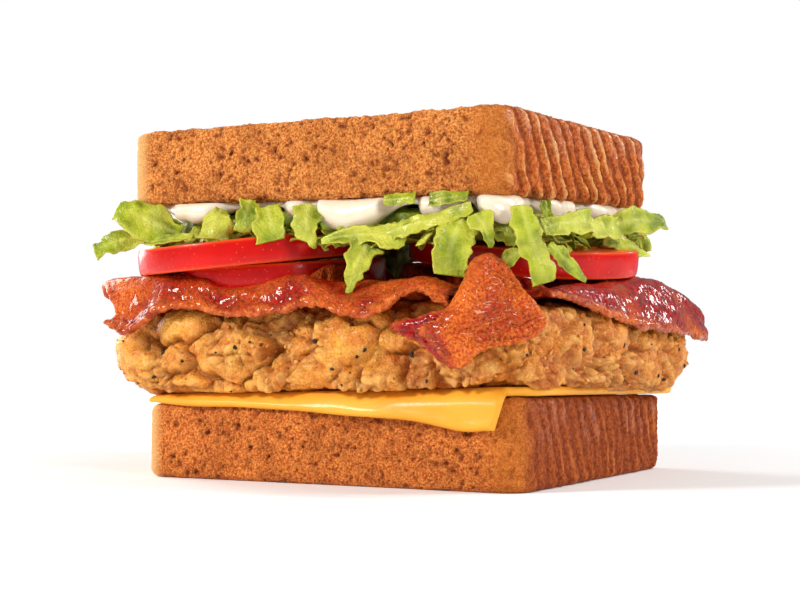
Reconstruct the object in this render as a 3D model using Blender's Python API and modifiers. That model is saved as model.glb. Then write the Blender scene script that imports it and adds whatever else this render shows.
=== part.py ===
"""Club sandwich: cheese, a crispy chicken fillet, bacon, tomato, shredded lettuce and
mayonnaise between two thick toasted slices.

Metres, +Z up. The origin is the middle of the bottom slice's underside, X runs along the
slices' long side and -Y is the side with the hanging cheese.
"""
import math

import bmesh
import bpy
from mathutils import Vector

# ---------------------------------------------------------------- driving dimensions
GAP = 0.0004               # air between neighbours that touch

SLICE_LENGTH = 0.127
SLICE_WIDTH = 0.108
SLICE_THICKNESS = 0.024    # before each face gets its own slope
SLICE_CORNER = 0.010       # crust corner radius in plan
SLICE_EDGE = 0.0025        # rounding between crust and face
TOP_SLICE_X = -0.005       # the top slice has slid a little to one side

CHEESE_THICKNESS = 0.0026
CHEESE_LEFT = -0.0635
CHEESE_RIGHT = 0.0645
CHEESE_BACK = 0.0510
CHEESE_TIP_NARROWING = 0.0085

CHICKEN_TOP = 0.0533
CHICKEN_LEFT = 0.0770
CHICKEN_RIGHT = 0.0700
CHICKEN_DEPTH = 0.0600
CHICKEN_LEFT_CORNER = -2.58     # directions, in radians, of the fillet's two longest lobes
CHICKEN_RIGHT_CORNER = 0.56

BACON_THICKNESS = 0.0022
BACON_SHOULDER = 0.0100    # radius of the bend over the fillet's edge

LETTUCE_LOW = 0.0665
LETTUCE_X = -0.0030
LETTUCE_LENGTH = 0.0720
LETTUCE_WIDTH = 0.0600

MAYO_FILM = 0.0022
MAYO_BLOB = 0.0034

UP = Vector((0.0, 0.0, 1.0))


def saddle(middle, along, across, twist, centre_x=0.0):
    """Height over a slice: its middle, a tilt each way and a twist, at the slice's corners."""
    def height(x, y):
        u = (x - centre_x) / (SLICE_LENGTH / 2)
        v = y / (SLICE_WIDTH / 2)
        return middle + along * u + across * v + twist * u * v
    return height


def level(height):
    """The same height everywhere."""
    return lambda x, y: height


BOTTOM_SLICE_FACE = saddle(0.0235, 0.0015, -0.0006, -0.0006)
TOP_SLICE_UNDERSIDE = saddle(0.0830, -0.0003, 0.0010, 0.0005, TOP_SLICE_X)
TOP_SLICE_FACE = saddle(0.1058, 0.0006, 0.0004, 0.0, TOP_SLICE_X)

# each tomato slice: middle of its underside, radius, thickness, slope along X and Y
TOMATOES = {
    "tomato_left": ((-0.038, -0.028, 0.0650), 0.038, 0.0075, 0.068, 0.083),
    "tomato_lower": ((-0.032, -0.026, 0.0590), 0.033, 0.0050, 0.033, 0.064),
    "tomato_back": ((-0.025, 0.036, 0.0605), 0.026, 0.0065, 0.0, 0.020),
    "tomato_right": ((0.033, 0.012, 0.0650), 0.036, 0.0080, -0.135, 0.100),
}

# the middle rasher's stations: x, y, z, half width, direction of its width, fold height
MIDDLE_RASHER = (
    (-0.065, 0.055, 0.0510, 0.008, 50, 0.0),
    (-0.047, 0.040, 0.0552, 0.012, 50, 0.0),
    (-0.018, 0.017, 0.0548, 0.013, 50, 0.0),
    (0.020, -0.015, 0.0548, 0.012, 50, 0.0),
    (0.043, -0.033, 0.0550, 0.006, 45, 0.0),
    (0.052, -0.050, 0.0600, 0.004, 35, 0.001),
    (0.055, -0.062, 0.0600, 0.006, 30, 0.003),
    (0.0560, -0.0650, 0.0540, 0.012, 30, 0.005),
    (0.0555, -0.0665, 0.0465, 0.0155, 29, 0.006),
    (0.0525, -0.0675, 0.0385, 0.008, 25, 0.003),
    (0.0515, -0.0685, 0.0350, 0.003, 20, 0.0),
)


# ---------------------------------------------------------------- helpers
def smooth(start, end, value):
    """0 before start, 1 after end, an even S between them."""
    share = min(max((value - start) / (end - start), 0.0), 1.0)
    return share * share * (3.0 - 2.0 * share)


def through(knots, share):
    """A smooth curve through evenly spaced knots, numbers or vectors, at share 0 to 1."""
    place = min(max(share, 0.0), 1.0) * (len(knots) - 1)
    index = min(int(place), len(knots) - 2)
    t = place - index
    before = knots[max(index - 1, 0)]
    start = knots[index]
    end = knots[index + 1]
    after = knots[min(index + 2, len(knots) - 1)]
    return 0.5 * (2.0 * start + (end - before) * t
                  + (2.0 * before - 5.0 * start + 4.0 * end - after) * t * t
                  + (3.0 * start - before - 3.0 * end + after) * t * t * t)


def over_edge(distance, radius):
    """Forward travel, drop and turn of a sheet that runs flat, bends a quarter and hangs."""
    quarter = radius * math.pi / 2
    if distance <= 0.0:
        return distance, 0.0, 0.0
    if distance < quarter:
        turn = distance / radius
        return radius * math.sin(turn), radius * (1.0 - math.cos(turn)), turn
    return radius, radius + distance - quarter, math.pi / 2


def rounded_outline(angle, half_x, half_y, power):
    """Radius of a rounded rectangle (a superellipse) in the direction of angle."""
    across = abs(math.cos(angle) / half_x) ** power
    along = abs(math.sin(angle) / half_y) ** power
    return (across + along) ** (-1.0 / power)


def material(name, colour, roughness, coat=0.0):
    """A plain finish for one sub-part."""
    made = bpy.data.materials.new(name)
    made.use_nodes = True
    shader = made.node_tree.nodes["Principled BSDF"]
    shader.inputs["Base Color"].default_value = (*colour, 1.0)
    shader.inputs["Roughness"].default_value = roughness
    shader.inputs["Metallic"].default_value = 0.0
    shader.inputs["Coat Weight"].default_value = coat
    return made


def finish(mesh, name, finish_material, collection):
    """Turn a bmesh into a named, smooth-shaded object with its material."""
    bmesh.ops.recalc_face_normals(mesh, faces=mesh.faces)
    data = bpy.data.meshes.new(name)
    mesh.to_mesh(data)
    mesh.free()
    data.shade_smooth()
    data.set_sharp_from_angle(angle=math.radians(40))
    data.materials.append(finish_material)
    made = bpy.data.objects.new(name, data)
    collection.objects.link(made)
    return made


def thicken(sheet, thickness):
    """Give an open surface its thickness, half to each side."""
    wall = sheet.modifiers.new("thickness", "SOLIDIFY")
    wall.thickness = thickness
    wall.offset = 0.0
    wall.use_even_offset = True


def pad(columns, rows, outline, centre, under, over, section, rim):
    """A sphere pressed into a pad: outline(angle) in plan, between two height functions.

    section is the superellipse power of its cross-section, and rim the share of the
    height at which it is widest.
    """
    mesh = bmesh.new()
    bmesh.ops.create_uvsphere(mesh, u_segments=columns, v_segments=rows, radius=1.0)
    for vertex in mesh.verts:
        angle = math.atan2(vertex.co.y, vertex.co.x)
        ring = math.hypot(vertex.co.x, vertex.co.y) ** (2.0 / section)
        rise = abs(vertex.co.z) ** (2.0 / section)
        reach = outline(angle) * ring
        x = centre[0] + reach * math.cos(angle)
        y = centre[1] + reach * math.sin(angle)
        low = under(x, y)
        high = over(x, y)
        widest = low + rim * (high - low)
        target = high if vertex.co.z > 0.0 else low
        vertex.co = (x, y, widest + rise * (target - widest))
    return mesh


# ---------------------------------------------------------------- bread
def bread_slice(name, centre_x, under, over, crust, collection):
    """A block with rounded corners and edges, cut into strips and bent to its two faces."""
    mesh = bmesh.new()
    bmesh.ops.create_cube(mesh, size=1.0)
    bmesh.ops.scale(mesh, vec=(SLICE_LENGTH, SLICE_WIDTH, SLICE_THICKNESS), verts=mesh.verts)
    upright = [edge for edge in mesh.edges
               if abs(edge.verts[0].co.z - edge.verts[1].co.z) > SLICE_THICKNESS / 2]
    bmesh.ops.bevel(mesh, geom=upright, offset=SLICE_CORNER, segments=5, profile=0.5,
                    affect="EDGES")
    rims = [edge for edge in mesh.edges
            if len({abs(face.normal.z) > 0.5 for face in edge.link_faces}) == 2]
    bmesh.ops.bevel(mesh, geom=rims, offset=SLICE_EDGE, segments=2, profile=0.5,
                    affect="EDGES")
    for axis, size, cuts in ((0, SLICE_LENGTH, 6), (1, SLICE_WIDTH, 5)):
        normal = Vector((0.0, 0.0, 0.0))
        normal[axis] = 1.0
        for step in range(1, cuts):
            place = normal * size * (step / cuts - 0.5)
            everything = mesh.verts[:] + mesh.edges[:] + mesh.faces[:]
            bmesh.ops.bisect_plane(mesh, geom=everything, plane_co=place, plane_no=normal,
                                   dist=0.00001)
    for vertex in mesh.verts:
        x = vertex.co.x + centre_x
        y = vertex.co.y
        share = vertex.co.z / SLICE_THICKNESS + 0.5
        vertex.co = (x, y, under(x, y) + share * (over(x, y) - under(x, y)))
    return finish(mesh, name, crust, collection)


# ---------------------------------------------------------------- cheese
def cheese_overhang(x):
    """How far the cheese runs past the start of the front edge's rounding, at x."""
    return (0.0040 + 0.0034 * smooth(-0.060, -0.016, x) + 0.0050 * smooth(0.008, 0.034, x)
            + 0.0036 * smooth(0.041, 0.054, x))


def cheese_slice(collection):
    """A thin square sheet, flat on the bread and bent down over its front edge."""
    bend_y = -(SLICE_WIDTH / 2 - SLICE_EDGE)
    bend_radius = SLICE_EDGE + GAP + CHEESE_THICKNESS / 2
    flat = CHEESE_BACK - bend_y
    mesh = bmesh.new()
    bmesh.ops.create_grid(mesh, x_segments=24, y_segments=13, size=1.0)
    for vertex in mesh.verts:
        across = (vertex.co.x + 1.0) / 2.0
        reach = (1.0 - vertex.co.y) / 2.0
        x = CHEESE_LEFT + across * (CHEESE_RIGHT - CHEESE_LEFT)
        # the front third of the rows covers the bend and the hanging part
        share = reach / 0.6
        if share < 1.0:
            distance = (share - 1.0) * flat
        else:
            distance = (reach - 0.6) / 0.4 * cheese_overhang(x)
        forward, drop, _ = over_edge(distance, bend_radius)
        narrowing = CHEESE_TIP_NARROWING * smooth(0.0, 0.012, drop)
        x -= narrowing * smooth(0.040, CHEESE_RIGHT, x)
        y = bend_y - forward
        vertex.co = (x, y, BOTTOM_SLICE_FACE(x, y) + GAP + CHEESE_THICKNESS / 2 - drop)
    finish_material = material("cheese", (0.90, 0.45, 0.06), 0.30, 0.4)
    thicken(finish(mesh, "cheese", finish_material, collection), CHEESE_THICKNESS)


# ---------------------------------------------------------------- chicken
def chicken_underside(x, y):
    """The fillet lies on the cheese."""
    return BOTTOM_SLICE_FACE(x, y) + CHEESE_THICKNESS + 3.0 * GAP


def chicken_face(x, y):
    """A flat top with soft hollows in it."""
    hollow = math.sin(x / 0.017 + 1.0) * math.cos(y / 0.014)
    return CHICKEN_TOP - 0.0006 * (1.0 + hollow)


def chicken_outline(angle):
    """A rounded rectangle with uneven bulges, longer to the left."""
    half_x = CHICKEN_RIGHT if math.cos(angle) > 0.0 else CHICKEN_LEFT
    bulges = 0.010 * math.sin(5.0 * angle + 0.7) + 0.008 * math.sin(9.0 * angle + 2.0)
    corners = (math.exp(-((angle - CHICKEN_LEFT_CORNER) / 0.28) ** 2)
               + math.exp(-((angle - CHICKEN_RIGHT_CORNER) / 0.28) ** 2))
    return rounded_outline(angle, half_x, CHICKEN_DEPTH, 6.0) * (1.0 + bulges + 0.05 * corners)


def chicken(collection):
    """One crispy fillet, a little larger than the bread."""
    mesh = pad(44, 16, chicken_outline, (0.0, 0.0), chicken_underside, chicken_face, 3.6, 0.36)
    finish(mesh, "chicken", material("chicken", (0.62, 0.34, 0.10), 0.55), collection)


# ---------------------------------------------------------------- bacon
def draped_rasher(name, start, end, outward, inner, reaches, lifts, ripple, collection):
    """A rasher along one edge of the fillet, bent over that edge.

    start and end are on the line where the bend begins, outward the way it faces, inner
    the width that lies flat, reaches the free edge's distance past that line and lifts
    how far the bend stands off, both at even steps from start to end.
    """
    along = Vector(end) - Vector(start)
    facing = Vector(outward)
    mesh = bmesh.new()
    bmesh.ops.create_grid(mesh, x_segments=24, y_segments=6, size=1.0)
    for vertex in mesh.verts:
        share = (vertex.co.x + 1.0) / 2.0
        across = (vertex.co.y + 1.0) / 2.0
        reach = through(reaches, share)
        distance = -inner + across * (inner + reach)
        forward, drop, turn = over_edge(distance, BACON_SHOULDER)
        swing = 0.5 + 0.5 * math.sin(ripple * share + 1.0)
        stand_off = through(lifts, share) * smooth(-inner, 0.0, distance)
        stand_off += 0.0016 * swing * smooth(0.0, BACON_SHOULDER, distance)
        normal = facing * math.sin(turn) + UP * math.cos(turn)
        point = Vector(start) + along * share + facing * forward + normal * stand_off
        point.z -= drop
        vertex.co = point
    finish_material = material(name, (0.45, 0.06, 0.02), 0.30, 0.5)
    thicken(finish(mesh, name, finish_material, collection), BACON_THICKNESS)


def middle_rasher(collection):
    """A rasher that crosses the fillet and folds down over its near corner."""
    centres = [Vector(station[:3]) for station in MIDDLE_RASHER]
    mesh = bmesh.new()
    bmesh.ops.create_grid(mesh, x_segments=30, y_segments=6, size=1.0)
    step = 0.01
    for vertex in mesh.verts:
        share = (vertex.co.x + 1.0) / 2.0
        side = vertex.co.y
        centre = through(centres, share)
        ahead = through(centres, min(share + step, 1.0)) - through(centres, max(share - step, 0.0))
        direction = math.radians(through([station[4] for station in MIDDLE_RASHER], share))
        width = Vector((math.cos(direction), math.sin(direction), 0.0))
        normal = width.cross(ahead).normalized()
        if normal.dot(Vector((0.5, -0.8, 0.6))) < 0.0:
            normal.negate()
        fold = through([station[5] for station in MIDDLE_RASHER], share)
        half = through([station[3] for station in MIDDLE_RASHER], share)
        vertex.co = centre + width * half * side + normal * fold * (1.0 - abs(side) ** 1.5)
    finish_material = material("bacon_middle", (0.50, 0.10, 0.03), 0.35, 0.4)
    thicken(finish(mesh, "bacon_middle", finish_material, collection), BACON_THICKNESS)


def bacon(collection):
    """Three rashers: along the front, over the near corner and along the right side."""
    flat = CHICKEN_TOP + GAP + BACON_THICKNESS / 2
    front = -(CHICKEN_DEPTH - 0.0065)
    draped_rasher("bacon_left", (-0.070, front, flat), (0.038, front, flat), (0.0, -1.0, 0.0),
                  0.013, (0.010, 0.016, 0.008, 0.010, 0.0115, 0.009, 0.012, 0.008),
                  (0.0035, 0.0008, 0.0, 0.0, 0.0002, 0.001, 0.001, 0.0015), 25.0,
                  collection)
    draped_rasher("bacon_right", (0.0605, -0.040, flat), (0.0665, 0.058, flat), (1.0, 0.0, 0.0),
                  0.006, (0.003, 0.007, 0.012, 0.017, 0.018, 0.0185, 0.017),
                  (0.0, 0.0005, 0.001, 0.003, 0.0035, 0.002, 0.001), 12.0, collection)
    middle_rasher(collection)


# ---------------------------------------------------------------- tomato
def tomato_height(name, x, y, share):
    """Height of a tomato slice's plane, share 0 at its underside and 1 at its upper face."""
    centre, _, thickness, slope_x, slope_y = TOMATOES[name]
    return (centre[2] + share * thickness + slope_x * (x - centre[0])
            + slope_y * (y - centre[1]))


def tomatoes(collection):
    """Each slice is a disc with a rounded rim, turned to its own tilt."""
    skin = material("tomato", (0.62, 0.02, 0.01), 0.22, 0.5)
    for name, (centre, radius, thickness, slope_x, slope_y) in TOMATOES.items():
        mesh = bmesh.new()
        bmesh.ops.create_cone(mesh, cap_ends=True, segments=36, radius1=radius,
                              radius2=radius, depth=thickness)
        rims = [edge for edge in mesh.edges
                if len({abs(face.normal.z) > 0.5 for face in edge.link_faces}) == 2]
        bmesh.ops.bevel(mesh, geom=rims, offset=0.0011, segments=2, profile=0.6,
                        affect="EDGES")
        upward = Vector((-slope_x, -slope_y, 1.0)).normalized()
        turn = UP.rotation_difference(upward)
        made = finish(mesh, name, skin, collection)
        made.rotation_mode = "QUATERNION"
        made.rotation_quaternion = turn
        made.location = Vector(centre) + upward * thickness / 2


# ---------------------------------------------------------------- lettuce and mayonnaise
def mayo_depth(x, y):
    """Thickness of the mayonnaise: a film with soft blobs towards the slice's edge."""
    u = (x - TOP_SLICE_X) / (SLICE_LENGTH / 2)
    v = y / (SLICE_WIDTH / 2)
    edge = smooth(0.55, 0.92, max(abs(u), abs(v)))
    blobs = 0.5 + 0.5 * math.sin(x / 0.0105 + 0.4) * math.cos(y / 0.0115 + 0.5)
    return MAYO_FILM + MAYO_BLOB * edge * blobs


def mayo_outline(angle):
    """The slice's outline, a little smaller, with soft lobes."""
    lobes = 0.018 * math.sin(11.0 * angle + 0.5)
    return rounded_outline(angle, 0.0615, 0.0520, 8.0) * (1.0 + lobes)


def mayonnaise(collection):
    """A soft layer under the top slice."""
    over = lambda x, y: TOP_SLICE_UNDERSIDE(x, y) - GAP
    under = lambda x, y: over(x, y) - mayo_depth(x, y)
    mesh = pad(40, 12, mayo_outline, (TOP_SLICE_X, 0.0), under, over, 4.0, 0.6)
    finish_material = material("mayonnaise", (0.86, 0.80, 0.68), 0.25, 0.4)
    finish(mesh, "mayonnaise", finish_material, collection)


def lettuce_outline(angle):
    """A ragged rounded rectangle, with a long tail of leaf at the near left."""
    ragged = 0.030 * math.sin(7.0 * angle + 1.0) + 0.022 * math.sin(13.0 * angle + 2.0)
    tail = 0.075 * math.exp(-((angle + 2.50) / 0.17) ** 2)
    return rounded_outline(angle, LETTUCE_LENGTH, LETTUCE_WIDTH, 6.0) * (1.0 + ragged + tail)


def lettuce_underside(x, y):
    """The heap lies over the tomatoes and drops between and around them."""
    low = LETTUCE_LOW
    clear_margin = 0.006
    fall = 1.2
    for name, (centre, radius, _, _, _) in TOMATOES.items():
        outside = math.hypot(x - centre[0], y - centre[1]) - radius - clear_margin
        height = tomato_height(name, x, y, 1.0) + 3.0 * GAP
        low = max(low, height - fall * max(outside, 0.0))
    return low


def lettuce_face(x, y):
    """The heap reaches up to the mayonnaise."""
    ruffle = 0.5 + 0.5 * math.sin(x / 0.008) * math.sin(y / 0.009 + 1.0)
    return TOP_SLICE_UNDERSIDE(x, y) - mayo_depth(x, y) - 3.0 * GAP - 0.0008 * ruffle


def lettuce(collection):
    """The heap of shreds as one solid out to its uneven edge."""
    mesh = pad(52, 14, lettuce_outline, (LETTUCE_X, 0.0), lettuce_underside, lettuce_face,
               3.6, 0.35)
    finish(mesh, "lettuce", material("lettuce", (0.36, 0.48, 0.06), 0.40), collection)


# ---------------------------------------------------------------- the whole sandwich
def build():
    """Clear the scene and stack the sandwich from the bottom up."""
    for old in list(bpy.data.objects):
        bpy.data.objects.remove(old, do_unlink=True)
    sandwich = bpy.data.collections.new("club_sandwich")
    bpy.context.scene.collection.children.link(sandwich)
    crust = material("toasted_bread", (0.55, 0.24, 0.07), 0.80)
    bread_slice("bread_bottom", 0.0, level(0.0), BOTTOM_SLICE_FACE, crust, sandwich)
    cheese_slice(sandwich)
    chicken(sandwich)
    bacon(sandwich)
    tomatoes(sandwich)
    lettuce(sandwich)
    mayonnaise(sandwich)
    bread_slice("bread_top", TOP_SLICE_X, TOP_SLICE_UNDERSIDE, TOP_SLICE_FACE, crust, sandwich)


build()
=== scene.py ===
"""Looks of a toasted chicken club sandwich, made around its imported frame.

Shapes are worked out in millimetres, in the frame's own axes, and make_piece turns them
into metres. -Y is the side where the cheese hangs, +X the side with the ridged crust.
"""
import itertools
import math

import bpy
import numpy as np
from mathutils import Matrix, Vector


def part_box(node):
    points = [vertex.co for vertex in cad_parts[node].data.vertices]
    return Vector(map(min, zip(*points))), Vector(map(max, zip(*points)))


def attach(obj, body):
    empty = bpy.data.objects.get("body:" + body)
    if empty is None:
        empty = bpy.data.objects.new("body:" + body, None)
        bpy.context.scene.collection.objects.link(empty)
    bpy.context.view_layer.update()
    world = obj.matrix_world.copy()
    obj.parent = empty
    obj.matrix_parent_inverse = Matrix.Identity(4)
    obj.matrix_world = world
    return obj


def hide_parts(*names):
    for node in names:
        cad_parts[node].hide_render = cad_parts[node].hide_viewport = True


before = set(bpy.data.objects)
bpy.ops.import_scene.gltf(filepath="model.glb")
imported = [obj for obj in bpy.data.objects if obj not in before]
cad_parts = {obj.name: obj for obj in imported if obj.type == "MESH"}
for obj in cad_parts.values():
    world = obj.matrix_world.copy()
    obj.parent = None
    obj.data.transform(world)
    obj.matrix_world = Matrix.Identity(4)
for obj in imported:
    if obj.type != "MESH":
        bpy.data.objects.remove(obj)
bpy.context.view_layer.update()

MM = 0.001
SLICE_EDGE = 2.6           # rounding between crust and face
CHEESE_THICKNESS = 2.6
BACON_THICKNESS = 2.0
LEAF_THICKNESS = 0.45
CRUMB_DEPTH = 0.78         # how deep the slices' torn pits go
RASHER_COLUMNS = 60        # points across a rasher
RASHER_RISE = 0.9          # from the fillet's top to the middle of a rasher lying on it
RASHER_GAP = 1.3           # from there to the tomato over it, at least
FILM_HALF = (61.6, 52.4)   # half sizes of the mayonnaise film
FILM_DEPTH = 1.6
HEAP_HALF = (66.0, 57.0)   # half sizes of the lettuce heap
CORE_HALF = (58.0, 48.0)   # and of the core inside it
CRUMB_COUNT = 420
PEPPER_SPRINKLE = 46       # flecks besides the listed ones
FLOOR_RADIUS = 0.8         # metres
TOMATOES = ("tomato_left", "tomato_right", "tomato_back")      # the three in one layer


# ------------------------------------------------------------------ numbers and fields
def ease(start, end, value):
    """0 before start, 1 after end, 3t^2 - 2t^3 between."""
    t = np.clip((value - start) / (end - start), 0.0, 1.0)
    return t * t * (3.0 - 2.0 * t)


def bell(value, centre, width):
    """exp(-((value - centre) / width)^2)."""
    return np.exp(-((value - centre) / width) ** 2)


def unit(vectors):
    """Vectors of length one."""
    return vectors / np.maximum(np.linalg.norm(vectors, axis=-1, keepdims=True), 1e-9)


def dome(distance, size, power=2):
    """1 at the middle, 0 from size on: 1 - (distance / size)^power."""
    return 1.0 - np.clip(distance / size, 0, 1) ** power


def bunched(count):
    """Shares from 0 to 1, closer together near both ends: half a sine wave."""
    return 0.5 + 0.5 * np.sin(np.linspace(-1.0, 1.0, count) * math.pi / 2)


def travel(points):
    """Distance along a line of points."""
    step = np.linalg.norm(np.diff(points, axis=0), axis=1)
    return np.concatenate([[0.0], np.cumsum(step)])


def squircle(angle, half_x, half_y):
    """Distance from the centre to |x / half_x|^6 + |y / half_y|^6 = 1 in a direction."""
    return (abs(np.cos(angle) / half_x) ** 6 + abs(np.sin(angle) / half_y) ** 6) ** (-1 / 6)


def spline(knots, share):
    """Catmull-Rom curve through evenly spaced knots (any shape), at shares from 0 to 1."""
    knots = np.asarray(knots, float)
    share = np.asarray(share, float)
    place = np.clip(share, 0.0, 1.0) * (len(knots) - 1)
    index = np.minimum(place.astype(int), len(knots) - 2)
    t = (place - index).reshape(share.shape + (1,) * (knots.ndim - 1))
    before = knots[np.maximum(index - 1, 0)]
    start = knots[index]
    end = knots[index + 1]
    after = knots[np.minimum(index + 2, len(knots) - 1)]
    return 0.5 * (2.0 * start + (end - before) * t
                  + (2.0 * before - 5.0 * start + 4.0 * end - after) * t * t
                  + (3.0 * start - before - 3.0 * end + after) * t * t * t)


def lattice_value(i, j, k, seed):
    """A fixed number from 0 to 1 for each whole-numbered place: an integer hash."""
    h = (i * 374761393 + j * 668265263 + k * 1442695041 + seed * 974634777) & 0xFFFFFFFF
    h = ((h ^ (h >> 13)) * 1274126177) & 0xFFFFFFFF
    h = ((h ^ (h >> 16)) * 1103515245) & 0xFFFFFFFF
    return (h ^ (h >> 15)) / 4294967296.0


def noise(points, size, seed):
    """Value noise from -1 to 1 with this grain size: lattice numbers blended smoothly."""
    scaled = points / size
    base = np.floor(scaled).astype(np.int64)
    t = scaled - base
    t = t * t * t * (t * (t * 6.0 - 15.0) + 10.0)
    total = 0.0
    for step in itertools.product((0, 1), repeat=3):
        weight = 1.0
        for axis in range(3):
            weight = weight * (t[..., axis] if step[axis] else 1.0 - t[..., axis])
        place = [base[..., axis] + step[axis] for axis in range(3)]
        total = total + weight * lattice_value(*place, seed)
    return 2.0 * total - 1.0


def fractal(points, size, seed, octaves):
    """Noise with octaves of half the size and 0.55 of the strength each."""
    total = 0.0
    strength = 1.0
    for octave in range(octaves):
        total = total + strength * noise(points, size / 2 ** octave, seed + 17 * octave)
        strength *= 0.55
    return total


def cells(points, size, seed):
    """Nearest and second nearest distance to scattered seeds, one in each cube of this
    size, in units of size, and the nearest seed's own random number."""
    scaled = points / size
    base = np.floor(scaled).astype(np.int64)
    nearest = np.full(points.shape[:-1], 9.0)
    second = nearest.copy()
    mark = np.zeros_like(nearest)
    for step in itertools.product((-1, 0, 1), repeat=3):
        place = [base[..., axis] + step[axis] for axis in range(3)]
        distance = 0.0
        for axis in range(3):
            seat = place[axis] + lattice_value(*place, seed + 31 * axis)
            distance = distance + (scaled[..., axis] - seat) ** 2
        distance = np.sqrt(distance)
        closer = distance < nearest
        second = np.where(closer, nearest, np.minimum(second, distance))
        mark = np.where(closer, lattice_value(*place, seed + 101), mark)
        nearest = np.minimum(nearest, distance)
    return nearest, second, mark


# ------------------------------------------------------------------ meshes
def index_quads(index):
    """Quads of a grid of vertex numbers; each faces along (next column) x (next row)."""
    return np.stack([index[:-1, :-1], index[:-1, 1:], index[1:, 1:], index[1:, :-1]],
                    axis=-1).reshape(-1, 4)


def shell(mid, half):
    """Closed skin round an open surface mid[rows, columns]: it is moved by half, its half
    thickness, both ways along its normal, and both sides share the border."""
    normal = unit(np.cross(np.gradient(mid, axis=1), np.gradient(mid, axis=0)))
    front = mid + normal * half[..., None]
    back = mid - normal * half[..., None]
    rows, columns = half.shape
    front_index = np.arange(rows * columns).reshape(rows, columns)
    back_index = front_index.copy()
    inner = (rows - 2) * (columns - 2)
    back_index[1:-1, 1:-1] = rows * columns + np.arange(inner).reshape(rows - 2, -1)
    vertices = np.concatenate([front.reshape(-1, 3), back[1:-1, 1:-1].reshape(-1, 3)])
    quads = np.concatenate([index_quads(front_index), index_quads(back_index)[:, ::-1]])
    return vertices, quads


def shell_field(values):
    """A field given on mid[rows, columns], repeated for both sides of its shell."""
    return np.concatenate([values.ravel(), values[1:-1, 1:-1].ravel()])


def capped_rings(rings):
    """Closed skin through rings[rows, columns] from an upper to a lower pole, the first and
    last row's mean; columns run counter-clockwise seen from above."""
    rows, columns = rings.shape[:2]
    index = np.arange(rows * columns).reshape(rows, columns)
    wrapped = np.concatenate([index, index[:, :1]], axis=1)
    quads = index_quads(wrapped)[:, ::-1]
    top = rows * columns
    following = np.roll(np.arange(columns), -1)
    upper = np.stack([np.full(columns, top), np.arange(columns), following], axis=-1)
    last = (rows - 1) * columns
    lower = np.stack([np.full(columns, top + 1), last + following, last + np.arange(columns)],
                     axis=-1)
    poles = np.stack([rings[0].mean(0), rings[-1].mean(0)])
    return np.concatenate([rings.reshape(-1, 3), poles]), quads, np.concatenate([upper, lower])


def ring_field(values):
    """A field on rings[rows, columns] with the two poles added."""
    return np.concatenate([values.ravel(), [values[0].mean(), values[-1].mean()]])


def ring_normals(rings):
    """Outward normals of rings[rows, columns] that run downwards and counter-clockwise."""
    around = np.roll(rings, -1, axis=1) - np.roll(rings, 1, axis=1)
    down = np.gradient(rings, axis=0)
    return unit(np.cross(down, around))


def make_piece(name, vertices, faces, finish, replaces=(), fields=None):
    """A smooth mesh in metres from millimetre vertices and lists of faces, with one
    point attribute for each field, riding on the sandwich's only body."""
    mesh = bpy.data.meshes.new(name)
    polygons = []
    for group in faces:
        polygons.extend(group.tolist())
    mesh.from_pydata((np.asarray(vertices) * MM).tolist(), [], polygons)
    for key, values in (fields or {}).items():
        layer = mesh.attributes.new(key, "FLOAT", "POINT")
        layer.data.foreach_set("value", np.asarray(values, np.float32).ravel())
    mesh.shade_smooth()
    mesh.materials.append(finish)
    mesh.update()
    piece = bpy.data.objects.new(name, mesh)
    bpy.context.scene.collection.objects.link(piece)
    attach(piece, "root")
    if replaces:
        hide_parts(*replaces)


# ------------------------------------------------------------------ reading the frame
def cad_points(node):
    """A node's vertices in millimetres."""
    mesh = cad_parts[node].data
    flat = np.empty(3 * len(mesh.vertices), np.float32)
    mesh.vertices.foreach_get("co", flat)
    return flat.reshape(-1, 3).astype(float) / MM


def cad_box(node):
    """A node's lowest and highest corner in millimetres."""
    return (np.array(corner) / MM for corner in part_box(node))


def cad_face(node, upper):
    """The height function a + b x + c y + d x y fitted to a slice's upper or lower face,
    read from the vertices just inside its straight sides."""
    points = cad_points(node)
    low = points.min(0)
    high = points.max(0)
    inside = np.all((points[:, :2] > low[:2] + 2.0) & (points[:, :2] < high[:2] - 2.0), axis=1)
    straight = np.any((points[:, :2] > low[:2] + 12.0) & (points[:, :2] < high[:2] - 12.0), axis=1)
    half = points[:, 2] > (low[2] + high[2]) / 2
    x, y, z = points[inside & straight & (half == upper)].T
    terms = np.linalg.lstsq(np.stack([np.ones_like(x), x, y, x * y], axis=1), z, rcond=None)[0]
    return lambda x, y: terms[0] + terms[1] * x + terms[2] * y + terms[3] * x * y


def cad_disc(node):
    """Centre, upward normal, radius and thickness of a flat round node."""
    points = cad_points(node)
    centre = (points.min(0) + points.max(0)) / 2
    spread = points - points.mean(0)
    normal = np.linalg.svd(spread, full_matrices=False)[2][2]
    normal = normal * np.sign(normal[2])
    heights = spread @ normal
    radius = np.linalg.norm(spread - heights[:, None] * normal, axis=1).max()
    return centre, normal, radius, heights.max() - heights.min()


bottom_face = cad_face("bread_bottom", True)
top_underside = cad_face("bread_top", False)
top_face = cad_face("bread_top", True)
TOP_CENTRE_X = float(sum(corner[0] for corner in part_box("bread_top")) / 2 / MM)


# ------------------------------------------------------------------ material helpers
def display(red, green, blue):
    """Linear colour of a display colour in steps of 0 to 255 (the sRGB curve)."""
    return tuple((c / 255 / 12.92) if c <= 10 else ((c / 255 + 0.055) / 1.055) ** 2.4
                 for c in (red, green, blue))


def put(tree, socket, value):
    """Set an input to a number or colour, or link it when given a socket."""
    if isinstance(value, bpy.types.NodeSocket):
        tree.links.new(value, socket)
    elif isinstance(value, tuple) and len(value) == 3 and len(socket.default_value) == 4:
        socket.default_value = (*value, 1.0)
    else:
        socket.default_value = value


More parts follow.
